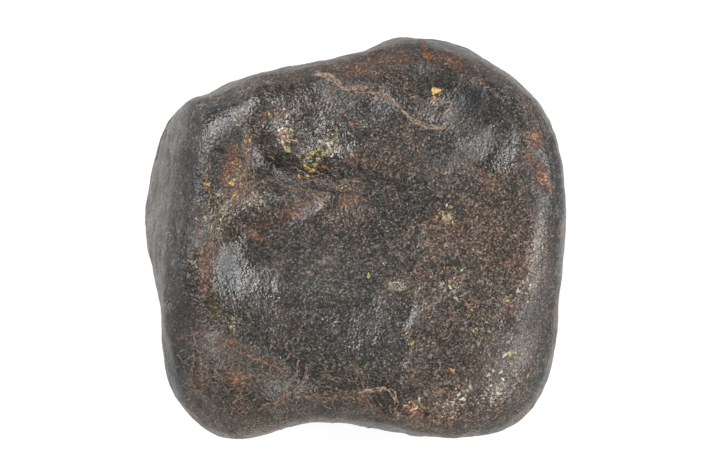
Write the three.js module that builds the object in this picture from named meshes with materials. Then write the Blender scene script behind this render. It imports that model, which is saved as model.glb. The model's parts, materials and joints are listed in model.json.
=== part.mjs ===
// A pallasite meteorite: one blocky, wind-smoothed stone of iron and olivine, about 44 mm across.
// It lies on a small worn flat on its underside, with its broad dished face up.
// Millimetres, +Z up. The origin is under the middle of the stone, at the level that it rests on.
import * as THREE from "three";
import { ImprovedNoise } from "three/addons/math/ImprovedNoise.js";
import { mergeVertices } from "three/addons/utils/BufferGeometryUtils.js";

// Driving dimensions
const WAIST_Z = 12.6; // height of the widest level
const CROWN = 13.9; // rise from the widest level to the broad upper face
const KEEL = 14.05; // drop from the widest level to the lowest point of the rounded underside
const FLAT_Z = 0; // level of the worn flat, which cuts off the lowest of the underside
const SURFACE_STEPS = 19; // subdivisions along each edge of the starting icosahedron
const UPWARD_CROWDING = 0.22; // how far the vertices crowd towards the detailed upper face

// How boxy the stone is, as the exponent of a superellipse: 2 is an ellipse, and more is squarer.
// Above the waist it changes round the compass: the face rolls over most sharply on the right.
const UPPER_SQUARENESS = [
  { way: 0, power: 8.5 },
  { way: 50, power: 5.2 },
  { way: 85, power: 4.4 },
  { way: 135, power: 5.6 },
  { way: 180, power: 7.0 },
  { way: 232, power: 4.4 },
  { way: 270, power: 6.0 },
  { way: 315, power: 5.6 },
];
const LOWER_SQUARENESS = 2.45;

// Under the waist the outline's bays fade out into this plain rounded oblong. The fade begins, and is
// whole, where a direction from the middle points this steeply down.
const KEEL_HALF_LENGTH = 20.9;
const KEEL_HALF_WIDTH = 19.9;
const KEEL_SQUARENESS = 3.1;
const KEEL_FADE = { from: 0.1, to: 0.75 };

// The widest level wanders up and down round the stone, in waves of this many turns, height and phase.
const WAIST_WAVES = [
  { turns: 1, height: 1.5, phase: 0.6 },
  { turns: 2, height: 0.8, phase: -1.1 },
  { turns: 3, height: 0.4, phase: 1.6 },
];

// The widest level seen from above, anticlockwise from the right: [x, y].
const WAIST_OUTLINE = [
  [22.0, 0.5],
  [21.85, 3.95],
  [21.8, 7.95],
  [20.85, 12.0],
  [18.3, 15.4],
  [14.8, 17.75],
  [11.1, 19.7],
  [7.3, 20.7],
  [3.85, 20.7],
  [0.5, 19.55],
  [-3.2, 18.5],
  [-9.75, 16.95],
  [-12.85, 15.8],
  [-15.25, 14.7],
  [-16.85, 14.4],
  [-18.5, 13.3],
  [-20.15, 10.95],
  [-21.1, 7.45],
  [-21.8, 3.15],
  [-22.0, -0.8],
  [-21.0, -3.95],
  [-20.55, -7.55],
  [-20.15, -11.65],
  [-19.15, -16.15],
  [-16.3, -19.4],
  [-12.4, -21.05],
  [-8.85, -20.45],
  [-5.3, -19.1],
  [0.0, -19.25],
  [7.25, -20.65],
  [12.15, -20.85],
  [16.5, -19.7],
  [19.4, -16.7],
  [20.8, -12.0],
  [21.0, -7.5],
  [21.7, -3.7],
];

// The upper face lies nearer the eye than the waist does, so the places that its forms were measured at,
// in a view from above that is true to scale at the waist, are this much too far out.
const UPPER_FACE_SCALE = 0.978;

// An upper form is pressed in fully where the stone faces up, and fades out over its shoulder:
// the share of the way up, as a direction's height, where it begins and where it is whole.
const UPPER_FORM_FADE = { from: 0.08, to: 0.4 };

// Forms of the upper face, each a smooth swelling or hollow with an oval footprint.
// at: centre in plan; long, wide: half lengths of the oval; turn: degrees from +X;
// rise: height, or depth if negative.
const UPPER_FORMS = {
  mainDish: { at: [-2.2, -6.8], long: 10.2, wide: 7.4, turn: -24, rise: -1.4 },
  dishBowl: { at: [-7.0, -4.8], long: 5.8, wide: 4.6, turn: -40, rise: -1.3 },
  leftRim: { at: [-15.8, -4.6], long: 6.0, wide: 2.7, turn: 90, rise: 1.4 },
  leftRidge: { at: [-16.6, 6.6], long: 5.4, wide: 1.9, turn: 90, rise: 0.4 },
  upperLeftShoulder: { at: [-12.4, 12.0], long: 4.8, wide: 2.4, turn: 44, rise: 0.7 },
  pittedSlope: { at: [-13.4, 5.8], long: 3.2, wide: 1.8, turn: 84, rise: -0.5 },
  deepHollow: { at: [-8.6, 7.3], long: 2.7, wide: 1.7, turn: -46, rise: -1.7 },
  hollowTail: { at: [-2.6, 5.9], long: 4.8, wide: 1.5, turn: -8, rise: -1.1 },
  hollowUpperArm: { at: [-9.6, 9.6], long: 2.6, wide: 1.3, turn: 68, rise: -0.7 },
  lumpOverHollow: { at: [-7.2, 10.9], long: 2.0, wide: 1.4, turn: 60, rise: 0.8 },
  grainyLump: { at: [-3.4, 9.3], long: 2.2, wide: 1.4, turn: 25, rise: 0.7 },
  smoothLobe: { at: [-8.0, 3.3], long: 3.0, wide: 2.1, turn: 20, rise: 0.75 },
  slantingRidge: { at: [-4.9, 1.2], long: 5.0, wide: 1.7, turn: 37, rise: 0.95 },
  ridgeFoot: { at: [-8.8, -1.4], long: 2.6, wide: 1.6, turn: 38, rise: 0.55 },
  innerRidge: { at: [-12.4, 1.2], long: 2.8, wide: 1.4, turn: 78, rise: 0.4 },
  upperLedge: { at: [0.4, 16.6], long: 6.0, wide: 1.8, turn: -22, rise: 0.7 },
  plateauWest: { at: [4.2, 12.4], long: 3.0, wide: 2.2, turn: 10, rise: 0.5 },
  ledgeEnd: { at: [6.4, 13.3], long: 3.4, wide: 1.6, turn: -22, rise: 0.6 },
  upperRightBoss: { at: [9.6, 17.4], long: 7.4, wide: 2.6, turn: -26, rise: 0.9 },
  bossGroove: { at: [12.6, 13.9], long: 7.0, wide: 1.8, turn: -30, rise: -0.9 },
  plateauBrow: { at: [6.0, 7.8], long: 7.5, wide: 4.0, turn: -12, rise: 0.5 },
  rightPit: { at: [14.6, 8.8], long: 2.6, wide: 1.6, turn: 15, rise: -1.1 },
  pitLip: { at: [17.4, 9.8], long: 2.6, wide: 1.2, turn: 75, rise: 0.8 },
  rightRim: { at: [18.6, -2.0], long: 8.5, wide: 1.7, turn: 88, rise: 0.5 },
  lowerRightShelf: { at: [12.6, -13.4], long: 6.0, wide: 4.6, turn: -20, rise: 0.4 },
  lowerLeftKnob: { at: [-12.0, -16.0], long: 4.6, wide: 3.4, turn: -28, rise: 1.1 },
  knobGroove: { at: [-6.6, -13.6], long: 5.0, wide: 1.4, turn: -29, rise: -1.0 },
  knobSaddle: { at: [-16.6, -9.6], long: 3.8, wide: 2.4, turn: 80, rise: -0.5 },
  lowerRimDip: { at: [-1.4, -18.4], long: 5.0, wide: 2.2, turn: -6, rise: -1.2 },
  darkCell: { at: [2.8, -17.2], long: 1.8, wide: 1.3, turn: -42, rise: -0.6 },
};

// Thumbprint hollows and swellings round the sides and the underside.
// way: compass degrees anticlockwise from +X; up: degrees above the widest level; reach: half width in mm.
const SIDE_FORMS = {
  leftWallScoop: { way: 168, up: 26, reach: 6.5, rise: -1.1 },
  leftLowBulge: { way: 176, up: -14, reach: 4.6, rise: 0.7 },
  leftLowScoop: { way: 204, up: -30, reach: 6.6, rise: -1.5 },
  frontScoop: { way: 262, up: -26, reach: 8.0, rise: -1.9 },
  frontRightScoop: { way: 304, up: -36, reach: 6.4, rise: -1.3 },
  frontBrow: { way: 284, up: -8, reach: 4.2, rise: 0.5 },
  rightScoop: { way: 350, up: -28, reach: 7.4, rise: -1.6 },
  rightUpperScoop: { way: 22, up: 14, reach: 4.4, rise: -0.5 },
  backRightScoop: { way: 46, up: -34, reach: 7.0, rise: -1.7 },
  backScoop: { way: 98, up: -22, reach: 7.6, rise: -1.8 },
  backLeftScoop: { way: 138, up: -38, reach: 6.6, rise: -1.4 },
  backLeftBoss: { way: 120, up: -14, reach: 4.4, rise: 0.6 },
  undersideLeftScoop: { way: 190, up: -62, reach: 6.0, rise: -1.1 },
  undersideBackScoop: { way: 72, up: -60, reach: 6.2, rise: -1.0 },
  undersideFrontScoop: { way: 292, up: -64, reach: 5.6, rise: -0.9 },
};

// Broad planes that wear has cut across the block, with rounded edges.
// way, up: the direction the plane faces; off: its distance from the middle of the stone;
// soften: its edges' roundness.
const WORN_PLANES = {
  leftWall: { way: 171, up: 20, off: 21.5, soften: 0.6 },
  frontLower: { way: 256, up: -38, off: 19.6, soften: 1.0 },
  rightLower: { way: 338, up: -34, off: 20.2, soften: 1.2 },
  backRightLower: { way: 52, up: -32, off: 20.6, soften: 1.0 },
  backLeftLower: { way: 132, up: -40, off: 19.4, soften: 1.1 },
  leftLower: { way: 196, up: -36, off: 19.0, soften: 0.9 },
};

// Irregular waviness over the whole surface: each size of wave, its height, and the part of the noise
// that it reads.
const WAVES = [
  { length: 12, height: 0.55, shift: [0, 0, 0] },
  { length: 5.2, height: 0.3, shift: [7, -3, 0] },
  { length: 2.9, height: 0.12, shift: [14, -6, 0] },
];
const SWELL_FLATTENING = 1.6; // how much more steeply than a plain ray a swelling pushes up or down
const MERGE_DISTANCE = 1e-4; // on the starting icosahedron, whose radius is 1

const FULL_TURN = 360;
const degrees = THREE.MathUtils.degToRad;
const { smoothstep } = THREE.MathUtils;

// The distance from the middle to the waist outline, as a function of the compass angle in radians.
function makeWaistRadius(outline) {
  const SAMPLES = 1440;
  const points = outline.map(([x, y]) => new THREE.Vector3(x, y, 0));
  const samples = new THREE.CatmullRomCurve3(points, true).getPoints(SAMPLES);
  const turn = 2 * Math.PI;
  const table = samples
    .map((p) => ({ angle: (Math.atan2(p.y, p.x) + turn) % turn, radius: Math.hypot(p.x, p.y) }))
    .sort((a, b) => a.angle - b.angle);
  return (angle) => {
    const wanted = (angle + turn) % turn;
    const next = table.findIndex((sample) => sample.angle > wanted);
    const after = table[Math.max(next, 0)];
    const before = table[(Math.max(next, 0) + table.length - 1) % table.length];
    const gap = (after.angle - before.angle + turn) % turn || 1;
    const share = ((wanted - before.angle + turn) % turn) / gap;
    return THREE.MathUtils.lerp(before.radius, after.radius, Math.min(share, 1));
  };
}

// How high the widest level lies towards a compass angle.
function waistLift(compass) {
  return WAIST_WAVES.reduce(
    (sum, { turns, height, phase }) => sum + height * Math.sin(turns * compass + phase),
    0,
  );
}

// The distance from the middle to the plain oblong that the outline becomes underneath.
function keelRadius(compass) {
  const along = Math.abs(Math.cos(compass)) / KEEL_HALF_LENGTH;
  const across = Math.abs(Math.sin(compass)) / KEEL_HALF_WIDTH;
  return (along ** KEEL_SQUARENESS + across ** KEEL_SQUARENESS) ** (-1 / KEEL_SQUARENESS);
}

// A unit vector from compass degrees and degrees above the level.
function directionOf({ way, up }) {
  const level = Math.cos(degrees(up));
  return new THREE.Vector3(
    level * Math.cos(degrees(way)),
    level * Math.sin(degrees(way)),
    Math.sin(degrees(up)),
  );
}

// The squareness above the waist towards a compass angle, eased from each named one to the next.
function upperSquareness(compass) {
  const way = (THREE.MathUtils.radToDeg(compass) + FULL_TURN) % FULL_TURN;
  const last = UPPER_SQUARENESS.length - 1;
  const index = UPPER_SQUARENESS.findLastIndex((corner) => corner.way <= way);
  const from = UPPER_SQUARENESS[index];
  const to = index < last ? UPPER_SQUARENESS[index + 1] : { ...UPPER_SQUARENESS[0], way: FULL_TURN };
  return THREE.MathUtils.lerp(from.power, to.power, smoothstep(way, from.way, to.way));
}

// The rounded block before its forms are pressed in: where a ray from the middle meets it.
function blockPoint(direction, waistRadius) {
  const compass = Math.atan2(direction.y, direction.x);
  const across = Math.hypot(direction.x, direction.y);
  const upper = direction.z >= 0;
  const squareness = upper ? upperSquareness(compass) : LOWER_SQUARENESS;
  const height = upper ? CROWN : KEEL;
  const keelShare = smoothstep(-direction.z, KEEL_FADE.from, KEEL_FADE.to);
  const radius = THREE.MathUtils.lerp(waistRadius(compass), keelRadius(compass), keelShare);
  const sum = (across / radius) ** squareness + (Math.abs(direction.z) / height) ** squareness;
  const point = direction.clone().multiplyScalar(sum ** (-1 / squareness));
  const outwards = Math.hypot(point.x, point.y) / radius;
  point.z += WAIST_Z + waistLift(compass) * outwards ** 2;
  return point;
}

// The height that one upper form adds at a place in plan.
function upperRise({ at, long, wide, turn, rise }, x, y) {
  const cos = Math.cos(degrees(turn));
  const sin = Math.sin(degrees(turn));
  const along = ((x - at[0]) * cos + (y - at[1]) * sin) / long;
  const across = ((y - at[1]) * cos - (x - at[0]) * sin) / wide;
  return rise * Math.exp(-(along ** 2 + across ** 2));
}

// Where each side form sits on the block, found once.
function placeSideForms(forms, waistRadius) {
  return Object.values(forms).map((form) => ({
    centre: blockPoint(directionOf(form), waistRadius),
    reach: form.reach,
    rise: form.rise,
  }));
}

// Presses a point back to a plane if it stands past it, with a soft edge.
function wearDown(point, { normal, off, soften }) {
  const past = point.x * normal.x + point.y * normal.y + (point.z - WAIST_Z) * normal.z - off;
  const pressed = soften * Math.log1p(Math.exp(past / soften));
  point.addScaledVector(normal, -pressed);
}

function waviness(noise, point) {
  return WAVES.reduce(
    (sum, { length, height, shift: [x, y, z] }) =>
      sum + height * noise.noise(point.x / length + x, point.y / length + y, point.z / length + z),
    0,
  );
}

// The whole surface as one closed mesh.
function meteoriteGeometry() {
  const start = new THREE.IcosahedronGeometry(1, SURFACE_STEPS);
  start.deleteAttribute("normal");
  start.deleteAttribute("uv");
  const geometry = mergeVertices(start, MERGE_DISTANCE);
  const waistRadius = makeWaistRadius(WAIST_OUTLINE);
  const sideForms = placeSideForms(SIDE_FORMS, waistRadius);
  const planes = Object.values(WORN_PLANES).map((plane) => ({ ...plane, normal: directionOf(plane) }));
  const noise = new ImprovedNoise();
  const position = geometry.getAttribute("position");
  const direction = new THREE.Vector3();
  for (let i = 0; i < position.count; i++) {
    direction.fromBufferAttribute(position, i);
    direction.z += UPWARD_CROWDING;
    direction.normalize();
    const point = blockPoint(direction, waistRadius);
    const plan = { x: point.x / UPPER_FACE_SCALE, y: point.y / UPPER_FACE_SCALE };
    const upwards = SWELL_FLATTENING * (point.z - WAIST_Z);
    const outwards = new THREE.Vector3(point.x, point.y, upwards).normalize();
    let swelling = waviness(noise, point);
    for (const { centre, reach, rise } of sideForms)
      swelling += rise * Math.exp(-((point.distanceTo(centre) / reach) ** 2));
    point.addScaledVector(outwards, swelling);
    for (const plane of planes) wearDown(point, plane);
    const facingUp = smoothstep(direction.z, UPPER_FORM_FADE.from, UPPER_FORM_FADE.to);
    for (const form of Object.values(UPPER_FORMS))
      point.z += facingUp * upperRise(form, plan.x, plan.y);
    point.z = Math.max(point.z, FLAT_Z);
    position.setXYZ(i, point.x, point.y, point.z);
  }
  return geometry;
}

// Puts the middle of the bounding box over the origin, and its lowest level at zero.
function centreOverOrigin(geometry) {
  geometry.computeBoundingBox();
  const { min, max } = geometry.boundingBox;
  geometry.translate(-(min.x + max.x) / 2, -(min.y + max.y) / 2, -min.z);
  geometry.computeVertexNormals();
  return geometry;
}

const weatheredIron = new THREE.MeshStandardMaterial({
  color: 0x544c46,
  roughness: 0.5,
  metalness: 0.45,
});

const meteorite = new THREE.Mesh(centreOverOrigin(meteoriteGeometry()), weatheredIron);
meteorite.name = "meteorite";

const stone = new THREE.Group();
stone.add(meteorite);

export default stone;
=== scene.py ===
"""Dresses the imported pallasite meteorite: its worn skin, its rust veins and its olivine grains.

Places on the upper face are millimetres as seen from straight above: +X right and +Y away.
"""

import json
import math
import random
from collections import namedtuple

import bpy
import numpy as np
from mathutils import Matrix, Vector, noise
from mathutils.bvhtree import BVHTree

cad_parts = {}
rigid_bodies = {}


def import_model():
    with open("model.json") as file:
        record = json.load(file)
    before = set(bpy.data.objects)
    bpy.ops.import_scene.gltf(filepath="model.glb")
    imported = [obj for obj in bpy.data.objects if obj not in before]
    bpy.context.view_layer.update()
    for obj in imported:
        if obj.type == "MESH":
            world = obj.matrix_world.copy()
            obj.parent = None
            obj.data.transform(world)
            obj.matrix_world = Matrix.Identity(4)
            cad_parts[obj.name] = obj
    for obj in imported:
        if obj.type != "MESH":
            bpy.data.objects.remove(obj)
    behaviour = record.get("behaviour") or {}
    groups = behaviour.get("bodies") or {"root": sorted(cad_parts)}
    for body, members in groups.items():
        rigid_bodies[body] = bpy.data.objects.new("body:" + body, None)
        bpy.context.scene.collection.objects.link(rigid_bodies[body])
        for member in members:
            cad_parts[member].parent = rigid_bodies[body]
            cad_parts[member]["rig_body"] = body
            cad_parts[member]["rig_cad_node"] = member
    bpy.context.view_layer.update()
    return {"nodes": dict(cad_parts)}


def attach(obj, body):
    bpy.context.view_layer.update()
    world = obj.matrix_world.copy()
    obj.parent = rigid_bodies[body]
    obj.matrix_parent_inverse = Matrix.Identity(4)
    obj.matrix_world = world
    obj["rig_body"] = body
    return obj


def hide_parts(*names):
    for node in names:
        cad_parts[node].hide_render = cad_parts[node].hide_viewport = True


bl_info = {
    "name": "Pallasite Meteorite",
    "version": (1, 0, 0),
    "blender": (4, 5, 0),
    "location": "View3D > Sidebar > Meteorite",
    "description": "Makes the worn skin, the rust veins, the olivine grains and the studio of a pallasite",
    "category": "Object",
}

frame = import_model()

MM = 0.001
BODY = "root"
STONE_NODE = "meteorite"

WAIST_HEIGHT = 12.6 * MM
VIEW_DISTANCE = 600 * MM
VIEW_CENTRE = (-0.04 * MM, 0.25 * MM)
PHOTO_WIDTH = 708  # pixels
PIXEL = 0.105 * MM
SENSOR_WIDTH = 36  # millimetres
NEAREST_VIEW = 10 * MM
SOFTBOX_COLOUR = (0.96, 0.98, 1.0)
SOFTBOX_ELEVATION, SOFTBOX_DISTANCE = 44, 0.34
LEFT_AZIMUTH, LEFT_SIZE = 150, (0.34, 0.14)
RIGHT_AZIMUTH, RIGHT_SIZE = -10, (0.38, 0.14)
SURROUND_COLOUR = (1.0, 0.97, 0.92, 1)
FLOOR_ROUGHNESS = 0.9
SPOT_SEED, VEIN_SEED, GRAIN_SEED = 11, 5, 23

# Patches of the upper face. Each is an oval: x and y of its middle, half length, half width, turn in
# degrees, and strength. First those of rust.
RUST_PATCHES = {
    "pitted_slope": (-12.8, 7.2, 3.0, 1.6, 80, 0.9),
    "pitted_slope_heart": (-12.0, 5.9, 1.3, 0.7, 75, 1.0),
    "slot_head": (-11.6, 12.6, 0.7, 0.35, 90, 0.7),
    "left_rim_strip": (-15.5, -2.6, 4.4, 0.75, 86, 0.8),
    "left_rim_top": (-15.9, 3.2, 1.2, 0.7, 60, 0.5),
    "lobe_foot": (-12.0, 1.2, 0.8, 0.5, 20, 0.7),
    "lobe_tail": (-10.2, 0.2, 1.3, 0.6, -20, 0.7),
    "ridge_back": (-5.6, 3.4, 3.8, 1.2, 28, 0.6),
    "ridge_end": (-0.3, 4.1, 1.9, 0.9, 5, 0.75),
    "plateau_west": (-0.2, 12.0, 0.8, 0.55, 30, 0.6),
    "hollow_east": (-0.5, 8.3, 0.9, 0.5, 60, 0.65),
    "hollow_far_east": (1.5, 7.7, 0.9, 0.4, -20, 0.6),
    "shoulder_crown": (-7.4, 13.4, 1.0, 0.8, 30, 0.6),
    "top_rim": (0.6, 17.6, 5.6, 1.5, 8, 0.5),
    "boss_brown": (3.4, 18.6, 4.2, 1.5, 6, 0.6),
    "boss_streak": (7.7, 19.3, 1.8, 0.65, -58, 1.0),
    "boss_second": (10.4, 18.6, 1.7, 0.6, -38, 0.95),
    "boss_third": (12.9, 16.8, 1.0, 0.5, -40, 0.7),
    "right_rim_red": (19.0, 10.4, 1.4, 0.75, 100, 1.0),
    "right_rim_brown": (18.3, 8.6, 1.3, 0.7, 80, 0.75),
    "right_rim_orange": (19.7, 6.4, 2.4, 0.9, -62, 1.0),
    "pit_floor": (13.0, 7.2, 2.0, 0.5, -40, 0.7),
    "pit_tail": (14.2, 5.9, 1.6, 0.35, -15, 0.75),
    "shelf_streak": (13.6, 2.7, 2.2, 0.5, -4, 0.6),
    "shelf_dot_one": (10.8, -1.2, 0.6, 0.35, 80, 0.8),
    "shelf_dot_two": (7.9, -3.8, 0.6, 0.4, 50, 0.7),
    "shelf_dot_three": (16.1, -2.7, 0.5, 0.4, 0, 0.7),
    "shelf_dot_four": (12.3, -6.3, 0.7, 0.35, -10, 0.8),
    "shelf_dot_five": (16.0, -7.6, 2.2, 1.1, 20, 0.5),
    "lower_orange": (6.4, -17.9, 1.4, 0.8, -15, 1.0),
    "lower_orange_east": (12.0, -16.4, 0.9, 0.4, -10, 0.6),
    "knob_crown": (-12.2, -14.7, 1.7, 1.2, -20, 1.0),
    "knob_ring": (-12.0, -17.4, 1.0, 0.9, 0, 0.75),
    "knob_left": (-15.9, -14.6, 2.2, 0.7, 80, 0.65),
    "knob_brow": (-9.6, -12.8, 2.6, 0.5, -26, 0.75),
    "dish_corner": (-13.2, -10.8, 1.2, 0.8, 30, 0.8),
    "groove_red": (-1.4, -16.4, 3.8, 0.6, 4, 0.6),
    "cell_red": (1.0, -16.6, 1.0, 0.7, -40, 0.85),
    "dish_vein": (-0.1, -13.1, 0.9, 0.5, 30, 0.6),
}
# Green stain round the olivine.
STAIN_PATCHES = {
    "rim_olive": (-14.4, 3.0, 2.4, 1.0, 98, 1.0),
    "rim_olive_low": (-14.2, 0.4, 2.2, 0.6, 95, 0.7),
    "lobe_green": (-12.4, -0.5, 1.1, 0.8, 30, 1.0),
    "hollow_olive": (-4.9, 7.9, 2.4, 0.9, -10, 0.7),
    "lump_olive": (-2.6, 10.6, 1.8, 0.6, 50, 0.75),
    "shoulder_olive": (-6.9, 10.2, 1.5, 0.7, 80, 0.6),
    "dish_edge_olive": (-14.6, -7.4, 1.7, 0.7, 110, 0.8),
    "knob_cell": (-9.8, -14.2, 2.4, 1.3, -20, 1.0),
    "knob_foot": (-13.2, -18.2, 2.0, 1.1, -30, 0.7),
    "ledge_olive": (6.0, -10.6, 1.1, 0.45, 70, 0.8),
    "boss_olive": (17.6, 12.4, 1.2, 0.7, -50, 0.5),
}
# Smooth, grey crust.
SLATE_PATCHES = {
    "dish": (-4.6, -5.6, 7.0, 6.6, -20, 0.9),
    "dish_low": (1.2, -10.8, 4.6, 3.2, -60, 1.0),
    "upper_plateau": (0.8, 12.6, 3.0, 1.6, -20, 0.6),
    "boss_hollow": (12.0, 14.6, 4.4, 1.6, -35, 0.8),
}
# Hollows, edges and slopes whose colour is darkened: painted shade, with dirt kept in the hollows.
DIRT_AND_SHADE_PATCHES = {
    "left_foot": (-17.9, -7.2, 3.6, 1.5, 84, 1.0),
    "left_corner": (-18.2, -13.4, 4.0, 1.4, 78, 0.8),
    "shoulder_back": (-14.6, 13.3, 2.6, 0.6, 42, 0.8),
    "upper_edge": (-6.4, 15.6, 3.4, 0.6, 14, 0.7),
    "right_edge": (21.0, 1.0, 7.0, 0.5, 92, 0.7),
    "right_edge_low": (20.0, -10.4, 4.6, 0.5, 82, 0.5),
    "pit_floor": (15.0, 8.9, 1.8, 0.6, 14, 0.8),
    "lobe_west": (-12.6, 0.2, 1.6, 0.6, 60, 0.8),
    "ledge_foot": (3.4, 15.6, 3.0, 0.5, -30, 0.5),
    "dish_low_rim": (-7.6, -12.4, 3.2, 0.7, -30, 0.8),
    "groove": (-0.8, -15.4, 3.4, 0.9, 4, 0.6),
    "cell": (2.7, -17.2, 1.4, 0.6, -42, 1.0),
    "boss_hollow": (12.0, 14.8, 4.4, 1.7, -36, 1.0),
    "deep_hollow": (-8.0, 7.2, 1.5, 0.8, -46, 0.9),
    "hollow_tail": (-3.0, 5.5, 3.6, 0.9, -6, 0.9),
    "right_rim": (19.6, 6.4, 3.4, 0.7, 96, 0.6),
    "rim_shadow": (-16.2, 2.0, 1.6, 0.4, 80, 0.7),
    "knob": (-11.8, -14.8, 6.2, 4.4, -20, 0.36),
    "dish_foot": (-7.0, -14.4, 2.6, 1.5, -25, 0.7),
    "boss_outer": (14.6, 14.6, 3.4, 0.9, -42, 0.6),
    "upper_edge_middle": (-3.7, 16.2, 1.6, 0.7, 10, 0.6),
    "crest": (-16.8, 3.6, 3.4, 0.8, 88, 0.6),
    "slope_middle": (-14.2, 7.4, 2.6, 0.8, 80, 0.5),
    "bowl_rim": (-14.0, -2.6, 1.8, 0.6, 80, 0.6),
    "slope_top": (-13.8, 9.8, 1.8, 0.8, 76, 0.5),
    "rim_top": (-15.0, 3.4, 2.0, 0.7, 84, 0.6),
    "knob_north": (-8.2, -13.6, 3.0, 0.7, -26, 0.6),
}
# Broken, pebbly skin.
ROUGH_PATCHES = {
    "pitted_slope": (-12.8, 6.0, 4.4, 2.2, 86, 1.0),
    "left_crest": (-16.4, 6.2, 4.4, 1.5, 90, 0.9),
    "left_foot": (-17.4, -10.4, 4.6, 1.8, 86, 0.8),
    "grainy_lump": (-5.2, 10.2, 4.6, 3.0, -10, 1.0),
    "hollow_floor": (-3.4, 6.8, 4.0, 1.4, -8, 0.8),
    "right_pit": (14.6, 8.0, 3.2, 2.0, 10, 0.7),
    "knob": (-11.8, -14.8, 5.8, 4.2, -20, 0.8),
    "lower_groove": (-2.6, -16.2, 5.6, 2.0, 2, 1.0),
    "left_rim": (-15.4, -2.0, 5.6, 1.0, 86, 0.5),
    "upper_ledge": (0.8, 16.4, 5.0, 1.3, -8, 0.6),
}
# A thin film of brown rust.
FILM_PATCHES = {
    "knob": (-12.0, -15.4, 6.0, 4.2, -16, 0.9),
    "groove": (-2.0, -16.4, 6.0, 2.0, 0, 0.8),
    "left_side": (-16.6, -7.0, 5.4, 1.6, 84, 0.7),
    "slope": (-13.0, 6.0, 4.4, 2.2, 84, 0.8),
    "ridge_back": (-4.4, 3.4, 5.0, 1.4, 28, 0.8),
    "boss": (6.0, 18.4, 6.6, 2.2, -6, 1.0),
    "ledge": (0.8, 16.0, 5.0, 1.2, -14, 0.7),
    "plateau": (2.0, 8.4, 3.6, 1.8, 0, 0.5),
    "right_side": (16.0, 3.0, 3.4, 5.0, 0, 0.5),
    "right_rim": (19.0, 8.0, 3.6, 1.0, 100, 0.7),
    "lobe": (-11.0, 1.2, 2.4, 1.6, 20, 0.6),
    "ridge_end": (-0.7, 2.9, 2.2, 1.4, 10, 0.8),
    "shelf_north": (9.8, 1.5, 2.4, 1.6, 0, 0.8),
    "right_low": (18.6, -3.4, 3.4, 1.2, 90, 0.9),
    "top_rim": (-2.0, 18.2, 9.0, 1.4, 12, 1.0),
    "bottom_rim": (-3.5, -19.4, 12.0, 1.3, 2, 1.0),
    "knob_foot": (-15.4, -18.6, 2.6, 1.8, -40, 1.0),
}
# Dull skin: rougher, and with painted shade that darkens its colour.
DULL_AND_SHADED_PATCHES = {
    "knob": (-11.6, -14.4, 6.4, 5.0, -20, 1.0),
    "dish_foot": (-7.6, -14.2, 3.6, 1.8, -25, 1.0),
    "left_rim": (-16.6, 1.6, 3.0, 1.3, 84, 1.0),
    "bowl_west": (-13.2, -3.0, 3.0, 1.3, 66, 1.0),
    "hollow_tail": (-2.8, 5.4, 4.4, 1.0, -4, 1.0),
    "slope": (-13.2, 8.8, 3.6, 2.2, 70, 1.0),
    "dish_low": (1.4, -9.2, 2.6, 1.7, -50, 0.8),
    "lower_right": (15.2, -12.2, 1.8, 2.6, 10, 0.6),
    "plateau_east": (11.2, 8.8, 2.4, 1.8, 10, 0.8),
    "ledge_foot": (2.6, 14.1, 1.6, 1.2, 0, 0.8),
    "ridge_face": (-5.8, 1.6, 3.6, 1.1, 37, 0.8),
    "right_rim": (18.9, 6.8, 4.4, 1.4, 92, 1.0),
    "right_rim_low": (18.6, -7.8, 3.4, 1.4, 84, 1.0),
    "left_foot": (-17.4, -10.6, 5.0, 2.2, 86, 1.0),
    "left_crest": (-16.4, 6.8, 4.6, 1.7, 90, 1.0),
    "boss_hollow": (12.4, 14.2, 5.4, 2.6, -35, 1.0),
    "boss": (7.6, 18.0, 5.8, 2.8, -16, 1.0),
    "lower_groove": (-2.0, -16.4, 5.4, 2.2, 2, 1.0),
    "hollow": (-5.4, 6.4, 4.6, 1.8, -14, 0.8),
    "top_edge": (-1.0, 16.2, 6.5, 1.6, -6, 0.9),
}
# Painted light: skin painted paler, mostly where the relief lies in shade.
PAINTED_LIGHT_PATCHES = {
    "dish_north": (-3.4, -3.2, 5.0, 3.2, -24, 1.0),
    "shelf": (10.5, -3.0, 5.4, 7.0, 0, 0.3),
    "lobe": (-10.2, 3.8, 1.9, 1.2, 20, 1.0),
    "ridge_foot": (-6.2, -0.8, 3.6, 1.0, 38, 1.0),
    "right_side": (17.8, -2.8, 0.9, 2.6, 0, 0.8),
    "plateau": (0.6, 12.4, 1.3, 1.0, 0, 0.9),
    "shoulder_foot": (-8.2, 9.8, 1.2, 1.0, 0, 0.8),
    "lower_crust": (10.8, -17.6, 5.6, 1.8, 6, 0.9),
    "bottom_wall": (-10.4, -20.3, 4.4, 1.0, 3, 1.0),
}
# Pale crumbs.
DUST_PATCHES = {
    "lump_west": (-7.5, 10.8, 0.8, 1.5, 8, 1.0),
    "lump_east": (-3.0, 9.4, 1.3, 0.8, 40, 0.9),
    "lump_foot": (-5.2, 8.6, 1.3, 0.7, -20, 0.7),
    "shoulder": (-8.2, 14.6, 1.6, 0.6, 10, 0.6),
    "hook": (8.6, 11.6, 1.0, 0.3, 10, 0.8),
    "ledge": (2.4, 15.0, 1.8, 0.4, -24, 0.6),
    "slope": (-12.2, 6.4, 1.5, 0.8, 80, 0.6),
    "shelf_north": (9.8, 2.2, 0.8, 0.5, 60, 0.9),
    "shelf_middle": (10.6, -4.6, 1.6, 0.8, 30, 0.6),
    "dish_east": (4.4, -4.9, 1.4, 0.6, -10, 0.9),
    "right_side": (18.2, -5.0, 1.2, 0.6, 80, 0.9),
    "lower_east": (14.8, -16.2, 2.2, 1.0, 30, 0.9),
    "lower_middle": (6.4, -17.6, 0.9, 0.6, 0, 0.9),
    "lower_rim": (10.6, -17.4, 2.4, 0.9, 0, 0.6),
    "dish_west": (-12.6, -8.8, 1.2, 0.8, 30, 0.5),
}
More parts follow.
